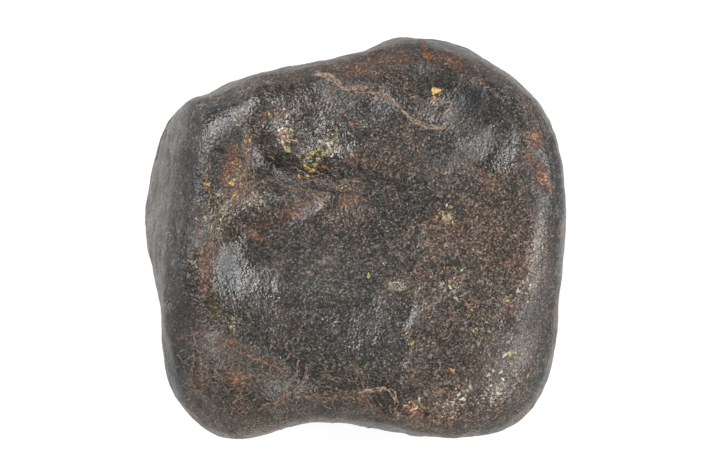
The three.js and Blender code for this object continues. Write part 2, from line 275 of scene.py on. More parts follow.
# Olive cells with a web of rust between them.
NETWORK_PATCHES = {
    "slope": (-12.8, 6.6, 3.4, 1.8, 86, 0.7),
    "left_rim": (-14.9, 0.8, 3.8, 0.9, 86, 0.8),
    "hollow": (-3.8, 6.6, 4.0, 1.1, -6, 0.5),
    "knob": (-11.8, -15.2, 6.4, 4.6, -16, 1.0),
    "lower_groove": (-3.0, -16.4, 6.0, 2.0, 2, 1.0),
    "knob_side": (-17.0, -13.0, 3.2, 1.6, 80, 0.7),
}
# Small pits, sunk into the skin and painted dark: painted shade with the dirt that they hold.
PITS = {
    "slot_hole": (-11.1, 11.7, 0.55, 0.3, 70, 1.0),
    "slope_hole": (-11.9, 8.2, 0.4, 0.3, 0, 0.8),
    "rim_hole": (-16.6, -2.1, 0.6, 0.3, 80, 0.9),
    "rim_hole_low": (-17.2, -3.6, 0.35, 0.2, 80, 0.7),
    "shelf_hole": (9.9, -5.5, 0.5, 0.25, 10, 0.9),
    "shelf_hole_low": (12.1, -8.9, 0.35, 0.2, 0, 0.8),
    "shelf_hole_east": (18.0, -5.7, 0.3, 0.2, 40, 0.6),
    "lower_hole": (7.5, -18.5, 0.7, 0.35, -20, 0.7),
    "boss_hole": (8.1, 18.8, 0.3, 0.2, -50, 0.7),
    "right_rim_hole": (20.1, 5.2, 0.4, 0.25, 60, 0.7),
}
# Veins of rust that stand proud on the upper face, as points along each: the full ones, then the fine ones.
VEINS = {
    "upper": [(-4.2, 17.5), (-2.9, 16.8), (-1.7, 16.2), (-0.5, 15.6), (0.9, 15.6), (2.2, 15.2), (3.7, 14.6),
              (4.5, 14.0), (5.4, 13.0), (6.3, 12.2), (7.2, 11.8), (8.6, 11.4), (9.6, 11.9)],
    "upper_twin": [(-3.4, 17.4), (-2.2, 16.8), (-1.2, 16.1), (0.1, 15.9), (1.5, 15.7)],
    "hook": [(7.9, 14.5), (8.7, 14.7), (9.3, 14.5), (10.0, 14.3), (9.9, 13.5), (9.3, 13.0)],
    "cell_lid": [(0.5, -16.3), (2.0, -15.9), (3.8, -15.9), (4.3, -16.9), (4.4, -18.0), (4.7, -18.9)],
}
FINE_VEINS = {
    "hook_west": [(5.7, 14.6), (6.3, 14.9), (6.9, 14.8), (7.5, 14.3)],
    "knob_crossing": [(-18.3, -10.4), (-17.6, -10.3), (-16.7, -10.1), (-16.1, -9.9), (-15.6, -8.8)],
    "knob_upright": [(-16.2, -11.9), (-16.1, -12.8), (-16.1, -13.7), (-15.9, -14.8)],
    "knob_outer": [(-16.8, -11.9), (-16.9, -13.4), (-17.1, -14.8), (-16.7, -16.0)],
    "dish_foot": [(-14.3, -10.4), (-13.3, -11.3), (-12.3, -11.8), (-11.1, -12.3), (-10.1, -12.8),
                  (-8.9, -13.2), (-7.8, -13.7), (-7.1, -14.1)],
    "knob_brow": [(-13.0, -14.0), (-11.8, -14.4), (-10.8, -14.4), (-10.0, -14.8)],
    "knob_ring": [(-11.1, -17.5), (-11.5, -18.2), (-12.2, -18.2), (-12.6, -17.6), (-12.4, -16.9),
                  (-11.8, -16.7), (-11.2, -17.0)],
    "groove_north": [(-9.6, -17.5), (-7.8, -16.8), (-5.7, -15.5), (-4.6, -13.1)],
    "groove_south": [(-8.6, -17.7), (-7.1, -17.2), (-5.5, -16.6), (-3.8, -16.9), (-1.6, -16.9)],
    "cell_stem": [(-0.2, -13.4), (0.4, -14.2), (0.8, -15.2), (1.2, -16.1), (2.0, -16.9)],
    "cell_base": [(-1.6, -16.9), (-0.3, -16.6), (0.8, -16.7), (1.6, -17.5), (3.0, -18.6)],
    "hollow_edge": [(-6.2, 6.3), (-5.2, 5.9), (-3.8, 6.0), (-2.4, 5.5), (-1.0, 5.2), (0.6, 5.4)],
    "slope_west": [(-11.3, 12.2), (-11.2, 10.7), (-11.6, 8.9), (-11.2, 7.1), (-11.4, 5.3), (-12.4, 3.8),
                   (-13.6, 3.2)],
    "rim_upper": [(-15.1, 8.0), (-15.5, 6.1), (-15.1, 4.4), (-15.4, 2.6), (-14.6, 0.8), (-14.2, -1.0)],
    "rim_lower": [(-16.6, 2.0), (-16.1, -0.1), (-16.3, -2.2), (-15.8, -4.6)],
    "hollow_west": [(-11.2, 5.0), (-9.7, 6.1), (-8.2, 6.1), (-6.8, 5.3), (-4.5, 5.0), (-2.7, 4.7)],
    "hollow_east": [(-2.7, 5.3), (-1.4, 5.7), (-0.2, 6.1), (1.2, 5.7)],
    "pit_line": [(11.4, 8.6), (12.4, 7.7), (13.4, 6.9), (14.6, 6.4)],
}
# Cracks, as points along each.
CRACKS = {
    "boss_outer": [(13.2, 17.0), (15.0, 15.6), (16.8, 13.4), (18.0, 11.6)],
    "boss_inner": [(13.8, 15.2), (15.4, 14.2), (16.6, 12.8)],
    "right_wall": [(20.6, 9.8), (21.2, 7.0), (21.3, 3.4)],
    "knob_side": [(-16.6, -12.0), (-16.7, -13.4), (-16.9, -14.9)],
    "left_wall": [(-19.6, 9.4), (-19.4, 7.4), (-19.5, 5.6)],
    "left_wall_low": [(-19.0, 1.8), (-18.9, 0.4), (-18.7, -0.9)],
}
# The west edge of the raised brown crust on the lower right, from its foot to where it fades out.
CRUST_EDGE = [(5.5, -19.0), (4.9, -16.7), (4.7, -15.2), (5.5, -12.8), (5.8, -11.7), (5.3, -10.3),
              (5.5, -9.2), (6.1, -8.1), (6.3, -7.0), (5.5, -5.7), (4.6, -4.8), (5.8, -3.6), (6.8, -1.0),
              (6.8, 2.0), (8.2, 4.5)]
# Its rise east of the edge, its fade towards the top, and how far it thins out in the east.
CRUST_RISE, CRUST_FADE, CRUST_EAST, CRUST_THINNED = (-0.15, 0.3), (0.5, 6.5), (16.5, 20.5), 0.6
# The step at its edge: its rise, its slope down towards the east, and its end towards the top.
STEP_RISE, STEP_SLOPE, STEP_END = (-0.1, 0.25), (1.0, 6.0), (-5.0, -3.4)

# The upper face's finish fades in between these heights, and between these upward parts of the normal.
# That of the sides fades out between its own heights. Spots are centred where its share is over this.
UPPER_HEIGHTS, UPPER_FACING = (WAIST_HEIGHT - 3 * MM, WAIST_HEIGHT + 1 * MM), (-0.3, 0.1)
LOWER_HEIGHTS, HIDDEN_SHARE = (WAIST_HEIGHT - 2 * MM, WAIST_HEIGHT + 4 * MM), 0.6
WALL_FACING, SIDE_FACING = (0.3, 0.5), (0.5, 0.85)  # upward parts of the normal where each fades out
REST_HEIGHTS = (0.05 * MM, 0.6 * MM)  # relief and finish start above the spot that the stone rests on
VEIN_REACH, CRACK_REACH = 0.28, 0.2  # half widths, in millimetres, of the skin's own swell and groove
SPOT_REACHES, SPOT_STRENGTHS = (0.4, 1.0), (0.5, 1.0)  # as shares of the widest and the strongest

# Along a vein, in millimetres: the step from point to point, and the lengths of its sways, of its lumps and
# of its worn gaps. It sways this far from its line, and it is worn away where a noise from -1 to 1 is
# under this level.
VEIN_STEP, SWAY_LENGTH, LUMP_LENGTH, GAP_LENGTH = 0.12, 0.45, 0.3, 0.8
VEIN_SWAY, VEIN_WORN_AWAY = 0.22, -0.28
USUAL_SHARE = 0.9  # of the full radius, between the lumps
FEWEST_POINTS = 4  # a shorter piece of vein is left out
END_SHARE = 0.35  # of the radius, at a strand's very end
BESIDE_COUNT, BESIDE_SPREAD, BESIDE_SHARE = 2, 0.18, 0.7  # thinner strands that run beside a vein

# The web: knots tried in a patch as large as the spacing, how far a strand reaches in spacings, and how
# far it bends in millimetres.
WEB_TRIES, WEB_REACH, WEB_BEND = 6, 2.6, 0.12
# A wandering vein: its step, how much of a turn it holds, how far it turns anew, and its sizes.
WANDER_STEP, WANDER_HOLD, WANDER_TURN, WANDER_SIZES = 0.16 * MM, 0.86, 0.1, (0.7, 1.25)
WANDER_LENGTHS = (2.5, 8)
WANDER_FOOT, WANDER_TOP = 0.8 * MM, WAIST_HEIGHT + 4 * MM  # heights that it starts between
CRUMB_SIZE, CRUMB_HEIGHT = 0.16 * MM, 0.16 * MM  # of the crumbly surface of a vein

# Shapes of grain that are copied, and the facets of each with their distances from its middle.
GRAIN_SHAPES, FACETS, FACET_DEPTHS = 5, 7, (0.5, 0.8)
# A grain's lengths, widths and flatness, and how deep its middle is sunk, as shares of its half width.
GRAIN_LENGTHS, GRAIN_WIDTHS, GRAIN_FLATNESS, GRAIN_SINK = (0.8, 1.3), (0.7, 1.1), 0.8, 0.35
CROWD_LARGEST, CROWD_SIZES = 2.4, (0.4, 1.0)  # usual half widths in the largest of a crowd, and shares of it
STREWN_SIZES, STREWN_FOOT = (0.5, 1.3), 0.5 * MM  # shares of the usual size, and the height they start at

WELD = 0.002 * MM  # corners nearer than this become one
WEAR_ROUNDS, WEAR_AND_SHADE_CONTRAST = 24, 0.35  # smoothings that crests and hollows are judged by, and how far a crest is painted lighter, as wear, and a hollow darker, as painted shade

# Sizes of the crust's patterns, in millimetres: those of its colour, those of its relief, and the web's.
BROAD, PATCHY, MOTTLE, FINE, SPECK = 4.5, 1.5, 0.75, 0.42, 0.16
SWELL, PEEL = 0.9, 0.26
WEB_CELL, THREAD_CELL = 2.4, 0.95

# Olivine and other bright grains of the upper face: x, y, half width and the name of a colour.
GRAINS = [
    (8.6, 15.5, 0.84, "gold"), (8.95, 15.15, 0.32, "amber"), (8.25, 15.25, 0.3, "gold"),
    (-7.5, 10.0, 0.38, "pale"), (-7.2, 9.2, 0.32, "straw"), (-7.3, 9.6, 0.27, "pale"),
    (-7.9, 10.7, 0.32, "red"), (-6.6, 11.4, 0.35, "straw"), (-6.6, 10.9, 0.27, "green"),
    (-1.5, 12.0, 0.24, "green"), (-1.9, 11.5, 0.24, "green"), (-2.3, 10.9, 0.22, "straw"),
    (-2.9, 10.4, 0.22, "green"), (-3.3, 9.9, 0.22, "green"), (-2.8, 8.9, 0.43, "straw"),
    (-2.3, 8.7, 0.27, "pale"), (-4.7, 8.9, 0.19, "pale"), (-5.8, 6.5, 0.3, "gold"),
    (-5.2, 7.6, 0.24, "gold"), (-4.9, 6.6, 0.24, "amber"), (-1.9, 5.4, 0.27, "amber"),
    (-1.3, 5.3, 0.24, "gold"), (-0.9, 5.5, 0.19, "straw"), (-15.5, 5.7, 0.41, "gold"),
    (-15.6, 5.2, 0.27, "amber"), (-12.7, -1.9, 0.27, "straw"), (-11.4, 10.7, 0.35, "gold"),
    (-11.4, 10.2, 0.24, "straw"), (11.3, -3.3, 0.27, "green"), (10.8, -6.5, 0.35, "green"),
    (10.6, -6.2, 0.22, "pale"), (1.5, -3.9, 0.38, "straw"), (10.0, 2.3, 0.32, "straw"),
    (10.3, 1.7, 0.24, "pale"), (3.7, -4.7, 0.38, "ash"), (5.1, -4.9, 0.32, "ash"), (4.3, -5.2, 0.27, "ash"),
    (9.7, 3.5, 0.24, "pale"), (9.2, 2.8, 0.19, "pale"), (3.1, -2.7, 0.22, "pale"),
    (6.1, -11.0, 0.38, "straw"), (12.0, -7.0, 0.24, "amber"), (15.0, -16.3, 0.32, "pale"),
    (5.4, -17.6, 0.41, "amber"), (6.0, -18.0, 0.3, "pale"), (-4.7, -7.9, 0.19, "amber"),
    (-14.4, 4.6, 0.22, "straw"), (-14.7, 2.4, 0.24, "green"), (-14.2, 1.0, 0.22, "straw"),
    (-9.6, 11.7, 0.22, "pale"), (-7.4, 13.6, 0.22, "pale"), (18.2, -14.4, 0.27, "straw"),
    (18.4, -5.3, 0.3, "ash"), (18.2, -6.6, 0.22, "pale"),
]
# Where small grains crowd: x, y, reach, count, usual half width, and the colours that they take.
CLUSTERS = [
    (-6.9, 10.3, 1.1, 16, 0.21, ("pale", "straw", "straw", "red")),
    (-5.0, 8.6, 1.5, 18, 0.18, ("straw", "ash", "pale", "green")),
    (-2.9, 9.6, 1.3, 20, 0.18, ("straw", "green", "straw", "pale")),
    (-4.6, 7.2, 1.4, 16, 0.16, ("gold", "amber", "straw")),
    (-8.6, 12.6, 1.5, 14, 0.15, ("pale", "ash", "straw", "red")),
    (-12.4, 6.4, 1.5, 22, 0.16, ("amber", "straw", "gold", "ash")),
    (-11.3, 9.9, 0.7, 8, 0.16, ("gold", "amber", "straw")),
    (-14.9, 2.6, 1.6, 16, 0.14, ("straw", "green", "ash")),
    (-12.6, -8.8, 1.2, 8, 0.15, ("pale", "straw", "ash")),
    (4.4, -4.9, 0.9, 14, 0.2, ("ash", "pale", "ash")),
    (10.4, -4.6, 2.0, 20, 0.15, ("ash", "pale", "green", "amber")),
    (9.6, 2.6, 0.9, 10, 0.15, ("straw", "pale", "gold")),
    (18.0, -5.2, 1.2, 14, 0.18, ("pale", "ash", "straw")),
    (16.0, -13.6, 2.4, 34, 0.16, ("pale", "ash", "straw", "ash")),
    (10.6, -17.6, 2.4, 20, 0.16, ("pale", "ash", "amber")),
    (6.0, -17.6, 0.8, 10, 0.2, ("amber", "pale", "gold")),
    (2.6, 14.6, 1.4, 8, 0.14, ("pale", "ash")),
    (13.6, -8.4, 2.8, 20, 0.14, ("ash", "pale", "straw")),
]
STREWN_TINTS = ["straw", "ash", "pale", "ash", "green"]
GRAIN_COLOURS = {
    "gold": (0.52, 0.31, 0.05),
    "amber": (0.33, 0.15, 0.05),
    "straw": (0.34, 0.29, 0.13),
    "green": (0.20, 0.25, 0.13),
    "pale": (0.46, 0.40, 0.34),
    "ash": (0.24, 0.215, 0.165),
    "red": (0.26, 0.09, 0.05),
}


def unit(value, low, high):
    """Rises smoothly from 0 at low to 1 at high."""
    t = np.clip((value - low) / (high - low), 0, 1)
    return t * t * (3 - 2 * t)


def deselect_all():
    """Leaves object mode with nothing selected."""
    if bpy.context.object and bpy.context.object.mode != "OBJECT":
        bpy.ops.object.mode_set(mode="OBJECT")
    bpy.ops.object.select_all(action="DESELECT")


def make_active(piece):
    """Selects one object alone and makes it the active one."""
    deselect_all()
    piece.select_set(True)
    bpy.context.view_layer.objects.active = piece


def join_as(pieces, name):
    """Joins meshes into one, named and with its origin at the frame's."""
    make_active(pieces[0])
    for piece in pieces:
        piece.select_set(True)
    if len(pieces) > 1:
        bpy.ops.object.join()
    bpy.ops.object.transform_apply(location=True, rotation=True, scale=True)
    joined = bpy.context.object
    joined.name = joined.data.name = name
    return joined


def positions(mesh):
    """The mesh's vertices as rows of x, y, z in metres."""
    values = np.empty(len(mesh.vertices) * 3, np.float32)
    mesh.vertices.foreach_get("co", values)
    return values.reshape(-1, 3).astype(float)


def normals(mesh):
    """The mesh's vertex normals as rows."""
    values = np.empty(len(mesh.vertices) * 3, np.float32)
    mesh.vertices.foreach_get("normal", values)
    return values.reshape(-1, 3).astype(float)


def seen_from_above(points):
    """Where points stand in the view from above, in millimetres at the height of the waist."""
    towards = VIEW_DISTANCE / (VIEW_DISTANCE + WAIST_HEIGHT - points[:, 2])
    centre = np.array(VIEW_CENTRE)
    return (centre + (points[:, :2] - centre) * towards[:, None]) / MM


def oval(plan, x, y, length, width, turn, strength):
    """A soft oval on the plan: its strength in the middle and about a third of it at its edge."""
    cosine, sine = math.cos(math.radians(turn)), math.sin(math.radians(turn))
    along = (plan[:, 0] - x) * cosine + (plan[:, 1] - y) * sine
    across = (plan[:, 1] - y) * cosine - (plan[:, 0] - x) * sine
    return strength * np.exp(-((along / length) ** 2 + (across / width) ** 2))


def patches(plan, table):
    """The strongest of a table's ovals at each point."""
    mask = np.zeros(len(plan))
    for patch in table.values():
        mask = np.maximum(mask, oval(plan, *patch))
    return mask


def distance_to_lines(plan, table):
    """How far each point of the plan is from the nearest line of a table."""
    nearest = np.full(len(plan), np.inf)
    for line in table.values():
        for start, end in zip(line, line[1:]):
            start, step = np.array(start), np.subtract(end, start)
            share = np.clip(((plan - start) @ step) / (step @ step), 0, 1)
            gap = np.linalg.norm(plan - start - share[:, None] * step, axis=1)
            nearest = np.minimum(nearest, gap)
    return nearest


def scattered(points, rng, allowed, count, reach):
    """Soft round spots of differing reach, in metres, centred on points drawn from the allowed ones."""
    mask = np.zeros(len(points))
    for index in rng.choice(np.flatnonzero(allowed), count):
        gap = np.linalg.norm(points - points[index], axis=1)
        size = reach * rng.uniform(*SPOT_REACHES)
        mask = np.maximum(mask, rng.uniform(*SPOT_STRENGTHS) * np.exp(-((gap / size) ** 2)))
    return mask


def standing_proud(mesh, rounds):
    """How far each vertex stands out of its smoothed surroundings, in metres."""
    edges = np.empty(len(mesh.edges) * 2, np.int32)
    mesh.edges.foreach_get("vertices", edges)
    start, end = edges[0::2], edges[1::2]
    count = len(mesh.vertices)
    shares = (np.bincount(start, minlength=count) + np.bincount(end, minlength=count))[:, None]
    first = positions(mesh)
    smooth = first.copy()
    for _ in range(rounds):
        total = np.empty_like(smooth)
        for axis in range(3):
            total[:, axis] = np.bincount(start, smooth[end, axis], count)
            total[:, axis] += np.bincount(end, smooth[start, axis], count)
        smooth = 0.5 * smooth + 0.5 * total / shares
    return ((first - smooth) * normals(mesh)).sum(axis=1)


# Each finish's patches of the upper face, then how it is strewn over the sides and the underside, which
# the photograph does not show: how many spots, and how far the widest reaches in millimetres.
STREWN = {
    "rust": (RUST_PATCHES, 34, 2.2),
    "stain": (STAIN_PATCHES, 14, 2.0),
    "slate": (SLATE_PATCHES, 8, 7),
    "dark": (DIRT_AND_SHADE_PATCHES, 9, 2.6),
    "rough": (ROUGH_PATCHES, 12, 4.4),
    "dust": (DUST_PATCHES, 14, 1.6),
    "film": (FILM_PATCHES, 16, 5),
    "matt": (DULL_AND_SHADED_PATCHES, 12, 4),
    "network": (NETWORK_PATCHES, 9, 5),
    "pits": (PITS, 26, 0.5),
}
STREWN_CRUST = (7, 8, 0.8)  # spots, widest reach and strength


def skin_masks(mesh):
    """Where each finish and each kind of relief lies on the skin, from 0 to 1 at every vertex."""
    points, facing = positions(mesh), normals(mesh)
    plan = seen_from_above(points)
    height, upright = points[:, 2], facing[:, 2]
    upper = unit(height, *UPPER_HEIGHTS) * unit(upright, *UPPER_FACING)
    lower = 1 - unit(height, *LOWER_HEIGHTS)
    hidden = lower > HIDDEN_SHARE
    clear_of_rest = unit(height, *REST_HEIGHTS)

    edge = np.array(CRUST_EDGE)
    east_of_edge = plan[:, 0] - np.interp(plan[:, 1], edge[:, 1], edge[:, 0])
    on_crust = unit(east_of_edge, *CRUST_RISE) * (1 - unit(plan[:, 1], *CRUST_FADE))
    on_crust *= 1 - CRUST_THINNED * unit(plan[:, 0], *CRUST_EAST)
    step = unit(east_of_edge, *STEP_RISE) * (1 - unit(east_of_edge, *STEP_SLOPE))
    step *= 1 - unit(plan[:, 1], *STEP_END)

    vein_gap = distance_to_lines(plan, {**VEINS, **FINE_VEINS})
    crack_gap = distance_to_lines(plan, CRACKS)
    masks = {
        # Painted light: where the skin is painted paler.
        "pale": patches(plan, PAINTED_LIGHT_PATCHES) * upper,
        "crust_step": step * upper,
        "vein": np.exp(-((vein_gap / VEIN_REACH) ** 2)) * upper,
        "crack": np.exp(-((crack_gap / CRACK_REACH) ** 2)) * upper,
        "wall": (1 - unit(np.abs(upright), *WALL_FACING)) * clear_of_rest,
        "side": 1 - unit(np.abs(upright), *SIDE_FACING),
        "whole": clear_of_rest,
    }
    rng = np.random.default_rng(SPOT_SEED)
    for name, (table, count, reach) in STREWN.items():
        spots = scattered(points, rng, hidden, count, reach * MM)
        masks[name] = patches(plan, table) * upper + spots * lower
    count, reach, strength = STREWN_CRUST
    masks["crust"] = on_crust * upper + strength * scattered(points, rng, hidden, count, reach * MM) * lower
    return {name: np.clip(mask, 0, 1) * clear_of_rest for name, mask in masks.items()}


Relief = namedtuple("Relief", "mask kind size height middle stretch")

# Each layer of the skin's relief: where it lies, its pattern, that pattern's size, how high it stands,
# the pattern's level that stays in place, and how far it is drawn out along Y.
RELIEFS = {
    "swell": Relief("whole", "CLOUDS", 3.2, 0.22, 0.5, 1),
    "dents": Relief("whole", "CLOUDS", 1.3, 0.07, 0.5, 1),
    "grain": Relief("whole", "CLOUDS", 0.55, 0.035, 0.5, 1),
    "broken": Relief("rough", "MUSGRAVE", 1.1, 0.16, 0.4, 1),
    "pebbles": Relief("rough", "VORONOI", 0.8, 0.14, 0.45, 1),
    "crust_step": Relief("crust_step", None, 0, 0.09, 0, 1),
    "crust_pebbles": Relief("crust", "VORONOI", 0.7, 0.06, 0.45, 1),
    "cells": Relief("network", "CELLS", 2.4, -0.12, 1, 1),
    "streaks": Relief("wall", "CLOUDS", 0.9, 0.15, 0.5, 7),
    "scoops": Relief("wall", "CLOUDS", 4.2, 0.3, 0.5, 1),
    "veins": Relief("vein", None, 0, 0.05, 0, 1),
    "cracks": Relief("crack", None, 0, -0.12, 0, 1),
    "pits": Relief("pits", None, 0, -0.42, 0, 1),
}


RELIEF_GROUP = "_relief"
MASK_LEVELS = 50


def relief_texture(name, relief):
    """The pattern that a layer of relief is pushed by."""
    texture = bpy.data.textures.new(name, "VORONOI" if relief.kind == "CELLS" else relief.kind)
    texture.noise_scale = relief.size * MM
    if relief.kind == "CLOUDS":
        texture.noise_depth = 2
    if relief.kind == "MUSGRAVE":
        texture.musgrave_type = "RIDGED_MULTIFRACTAL"
        texture.noise_intensity = 0.6
    if relief.kind == "CELLS":
        texture.weight_1, texture.weight_2 = -1, 1
        texture.contrast = 3.0
    return texture


def press_relief(skin, name, relief, guide):
    """Pushes the skin in and out by one layer of relief."""
    bpy.ops.object.modifier_add(type="DISPLACE")
    push = skin.modifiers[-1]
    push.vertex_group = relief.mask + RELIEF_GROUP
    push.strength = relief.height * MM
    push.mid_level = relief.middle
    if relief.kind:
        push.texture = relief_texture(name, relief)
        push.texture_coords = "LOCAL"
        if relief.stretch != 1:
            guide.scale = (1, relief.stretch, 1)
            bpy.context.view_layer.update()
            push.texture_coords = "OBJECT"
            push.texture_coords_object = guide
    bpy.ops.object.modifier_apply(modifier=push.name)


def add_masks(skin, masks):
    """Keeps each mask as an attribute for the finish, and those of the relief as vertex groups too."""
    for name, mask in masks.items():
        attribute = skin.data.attributes.new(name, "FLOAT", "POINT")
        attribute.data.foreach_set("value", mask.astype(np.float32))
    for name in sorted({relief.mask for relief in RELIEFS.values()}):
        group = skin.vertex_groups.new(name=name + RELIEF_GROUP)
        levels = np.round(masks[name] * MASK_LEVELS).astype(int)
        for level in range(1, MASK_LEVELS + 1):
            chosen = np.flatnonzero(levels == level)
            if len(chosen):
                group.add(chosen.tolist(), level / MASK_LEVELS, "REPLACE")


class Recipe:
    """A material's node tree, with a short call for each kind of node that these finishes use."""

    def __init__(self, name):
        self.material = bpy.data.materials.new(name)
        self.material.use_nodes = True
        self.tree = self.material.node_tree
        self.shader = self.tree.nodes["Principled BSDF"]

    def node(self, kind, **settings):
        made = self.tree.nodes.new("ShaderNode" + kind)
        for name, value in settings.items():
            setattr(made, name, value)
        return made

    def put(self, socket, value):
        if isinstance(value, bpy.types.NodeSocket):
            self.tree.links.new(value, socket)
        elif socket.type == "RGBA" and len(value) == 3:
            socket.default_value = (*value, 1)
        else:
            socket.default_value = value

    def place(self, stretch=(1, 1, 1)):
        """Where a point is on the piece, in millimetres, with each axis squeezed by its stretch."""
        source = self.node("TexCoord")
        mapping = self.node("Mapping")
        self.put(mapping.inputs["Vector"], source.outputs["Object"])
        mapping.inputs["Scale"].default_value = [1 / (MM * s) for s in stretch]
        return mapping.outputs["Vector"]

    def attribute(self, name, output="Fac"):
        return self.node("Attribute", attribute_name=name).outputs[output]

    def noise(self, place, size, detail=2.0, rough=0.5):
        made = self.node("TexNoise")
        self.put(made.inputs["Vector"], place)
        made.inputs["Scale"].default_value = 1 / size
        made.inputs["Detail"].default_value = detail
        made.inputs["Roughness"].default_value = rough
        return made.outputs["Fac"]

    def cells(self, place, size, feature="F1", output="Distance"):
        made = self.node("TexVoronoi", feature=feature)
        self.put(made.inputs["Vector"], place)
        made.inputs["Scale"].default_value = 1 / size
        return made.outputs[output]

    def sum(self, a, b, kind="ADD", clamp=False):
        made = self.node("Math", operation=kind, use_clamp=clamp)
        self.put(made.inputs[0], a)
        self.put(made.inputs[1], b)
        return made.outputs[0]

    def times(self, a, b):
        return self.sum(a, b, "MULTIPLY")

    def fit(self, value, low, high, to_low=0.0, to_high=1.0, smooth=True):
        made = self.node("MapRange", interpolation_type="SMOOTHSTEP" if smooth else "LINEAR")
        self.put(made.inputs["Value"], value)
        for name, number in (("From Min", low), ("From Max", high), ("To Min", to_low), ("To Max", to_high)):
            made.inputs[name].default_value = number
        return made.outputs["Result"]

    def mix(self, share, a, b):
        made = self.node("Mix", data_type="RGBA", blend_type="MIX")
        made.clamp_factor = True
        self.put(made.inputs[0], share)
        self.put(made.inputs[6], a)
        self.put(made.inputs[7], b)
        return made.outputs[2]

    def scaled(self, colour, factor):
        """A colour times a number that varies."""
        made = self.node("VectorMath", operation="SCALE")
        self.put(made.inputs[0], colour)
        self.put(made.inputs["Scale"], factor)
        return made.outputs["Vector"]

    def warped(self, place, size, reach):
        """Places pushed about by a noise, so that lines through them wander."""
        made = self.node("TexNoise")
        self.put(made.inputs["Vector"], place)
        made.inputs["Scale"].default_value = 1 / size
        away = self.node("VectorMath", operation="SUBTRACT")
        self.put(away.inputs[0], made.outputs["Color"])
        away.inputs[1].default_value = (0.5, 0.5, 0.5)
        pushed = self.node("VectorMath", operation="MULTIPLY_ADD")
        self.put(pushed.inputs[0], away.outputs["Vector"])
        pushed.inputs[1].default_value = (reach, reach, reach)
        self.put(pushed.inputs[2], place)
        return pushed.outputs["Vector"]

    def bump(self, height, distance, under=None):
        """Shades relief as high as the distance in millimetres, over what is under it."""
        made = self.node("Bump")
        made.inputs["Strength"].default_value = 1.0
        made.inputs["Distance"].default_value = distance * MM
        self.put(made.inputs["Height"], height)
        if under is not None:
            self.put(made.inputs["Normal"], under)
        return made.outputs["Normal"]

    def finish(self, **sockets):
        """Sets the shader's sockets, by their names with underscores, and hands over the material."""
        for name, value in sockets.items():
            self.put(self.shader.inputs[name.replace("_", " ")], value)
        return self.material


CRUST_MASKS = ("slate", "crust", "wall", "side", "rough", "network", "film", "rust", "stain", "dust", "dark",
               "matt", "pale", "pits", "crack", "worn")


class CrustRecipe(Recipe):
    """The crust's recipe, with the masks and the patterns that several of its parts share."""

    def __init__(self, name):
        super().__init__(name)
        self.at = self.place()
        self.broad = self.noise(self.at, BROAD, 3, 0.55)
        self.patchy = self.noise(self.warped(self.at, 1.6, 0.8), PATCHY, 4, 0.6)
        self.mottle = self.noise(self.at, MOTTLE, 3, 0.6)
        self.fine = self.noise(self.at, FINE, 3, 0.65)
        specks = self.node("SeparateColor")
        self.put(specks.inputs[0], self.cells(self.at, SPECK, output="Color"))
        self.pepper, self.salt, self.gleam = specks.outputs
        self.mask = {mask: self.attribute(mask) for mask in CRUST_MASKS}


def crust_rust(r):
    """Where rust lies: its patches, with ragged edges."""
    share = r.sum(r.times(r.mask["rust"], 1.25), r.fit(r.patchy, 0.46, 0.8, -0.1, 0.3))
    return r.fit(r.sum(share, r.fit(r.fine, 0.3, 0.7, -0.18, 0.18)), 0.2, 0.75, 0, 0.95)


def crust_web(r):
    """The lines drawn between the olive cells, wide ones and thin threads."""
    lines = r.cells(r.warped(r.at, 1.4, 1.3), WEB_CELL, "DISTANCE_TO_EDGE")
    threads = r.cells(r.warped(r.at, 0.7, 0.7), THREAD_CELL, "DISTANCE_TO_EDGE")
    line = r.times(r.fit(lines, 0.0, 0.06, 1, 0), r.fit(r.fine, 0.4, 0.6, 0.2, 1))
    thread = r.times(r.fit(threads, 0.0, 0.09, 1, 0), r.fit(r.patchy, 0.42, 0.62, 0, 0.85))
    return r.times(r.sum(line, thread, "MAXIMUM"), r.mask["network"])


def crust_ground(r, look, wall, rust, web):
    """The crust's colour: slate, and over it brown, film, walls, rust, stain, dust, cells and web."""
    film = r.mask["film"]
    brown = r.sum(r.times(r.mask["crust"], 0.5), r.fit(r.broad, 0.42, 0.62, -0.05, 0.4))
    brown = r.sum(brown, r.times(film, 0.7))
    brown = r.sum(brown, r.times(r.mask["slate"], 0.5), "SUBTRACT")
    brown = r.sum(brown, r.fit(r.patchy, 0.3, 0.75, -0.2, 0.4))
    brown = r.sum(brown, r.fit(r.mottle, 0.3, 0.7, -0.25, 0.25), clamp=True)

    streaks = r.noise(r.place((0.5, 4.0, 0.5)), 1.0, 4, 0.6)
    wall_tone = r.mix(r.fit(streaks, 0.42, 0.6), look.wall_colour, look.wall_streak_colour)
    bright_rust = r.times(r.fit(r.fine, 0.38, 0.68), r.fit(r.mask["rust"], 0.5, 1.0))
    stain = r.sum(r.mask["stain"], r.fit(r.fine, 0.3, 0.7, -0.4, 0.35))
    dust = r.sum(r.mask["dust"], r.fit(r.fine, 0.36, 0.64, -0.5, 0.3))

    ground = look.slate_colour
    for share, tone in (
        (brown, look.brown_colour),
        (r.times(film, r.fit(r.patchy, 0.35, 0.6, 0.3, 0.8)), look.film_colour),
        (r.times(wall, r.fit(film, 0, 1, 0.6, 0.25)), wall_tone),
        (rust, r.mix(bright_rust, look.rust_colour, look.ochre_colour)),
        (r.fit(stain, 0.2, 0.9, 0, 0.85), look.stain_colour),
        (r.fit(dust, 0.25, 0.85, 0, 0.75), look.dust_colour),
        (r.times(r.times(r.mask["network"], 0.62), r.fit(rust, 0, 1, 1, 0.15)), look.cell_colour),
        (r.times(web, 0.8), look.vein_colour),
    ):
        ground = r.mix(share, ground, tone)
    return ground


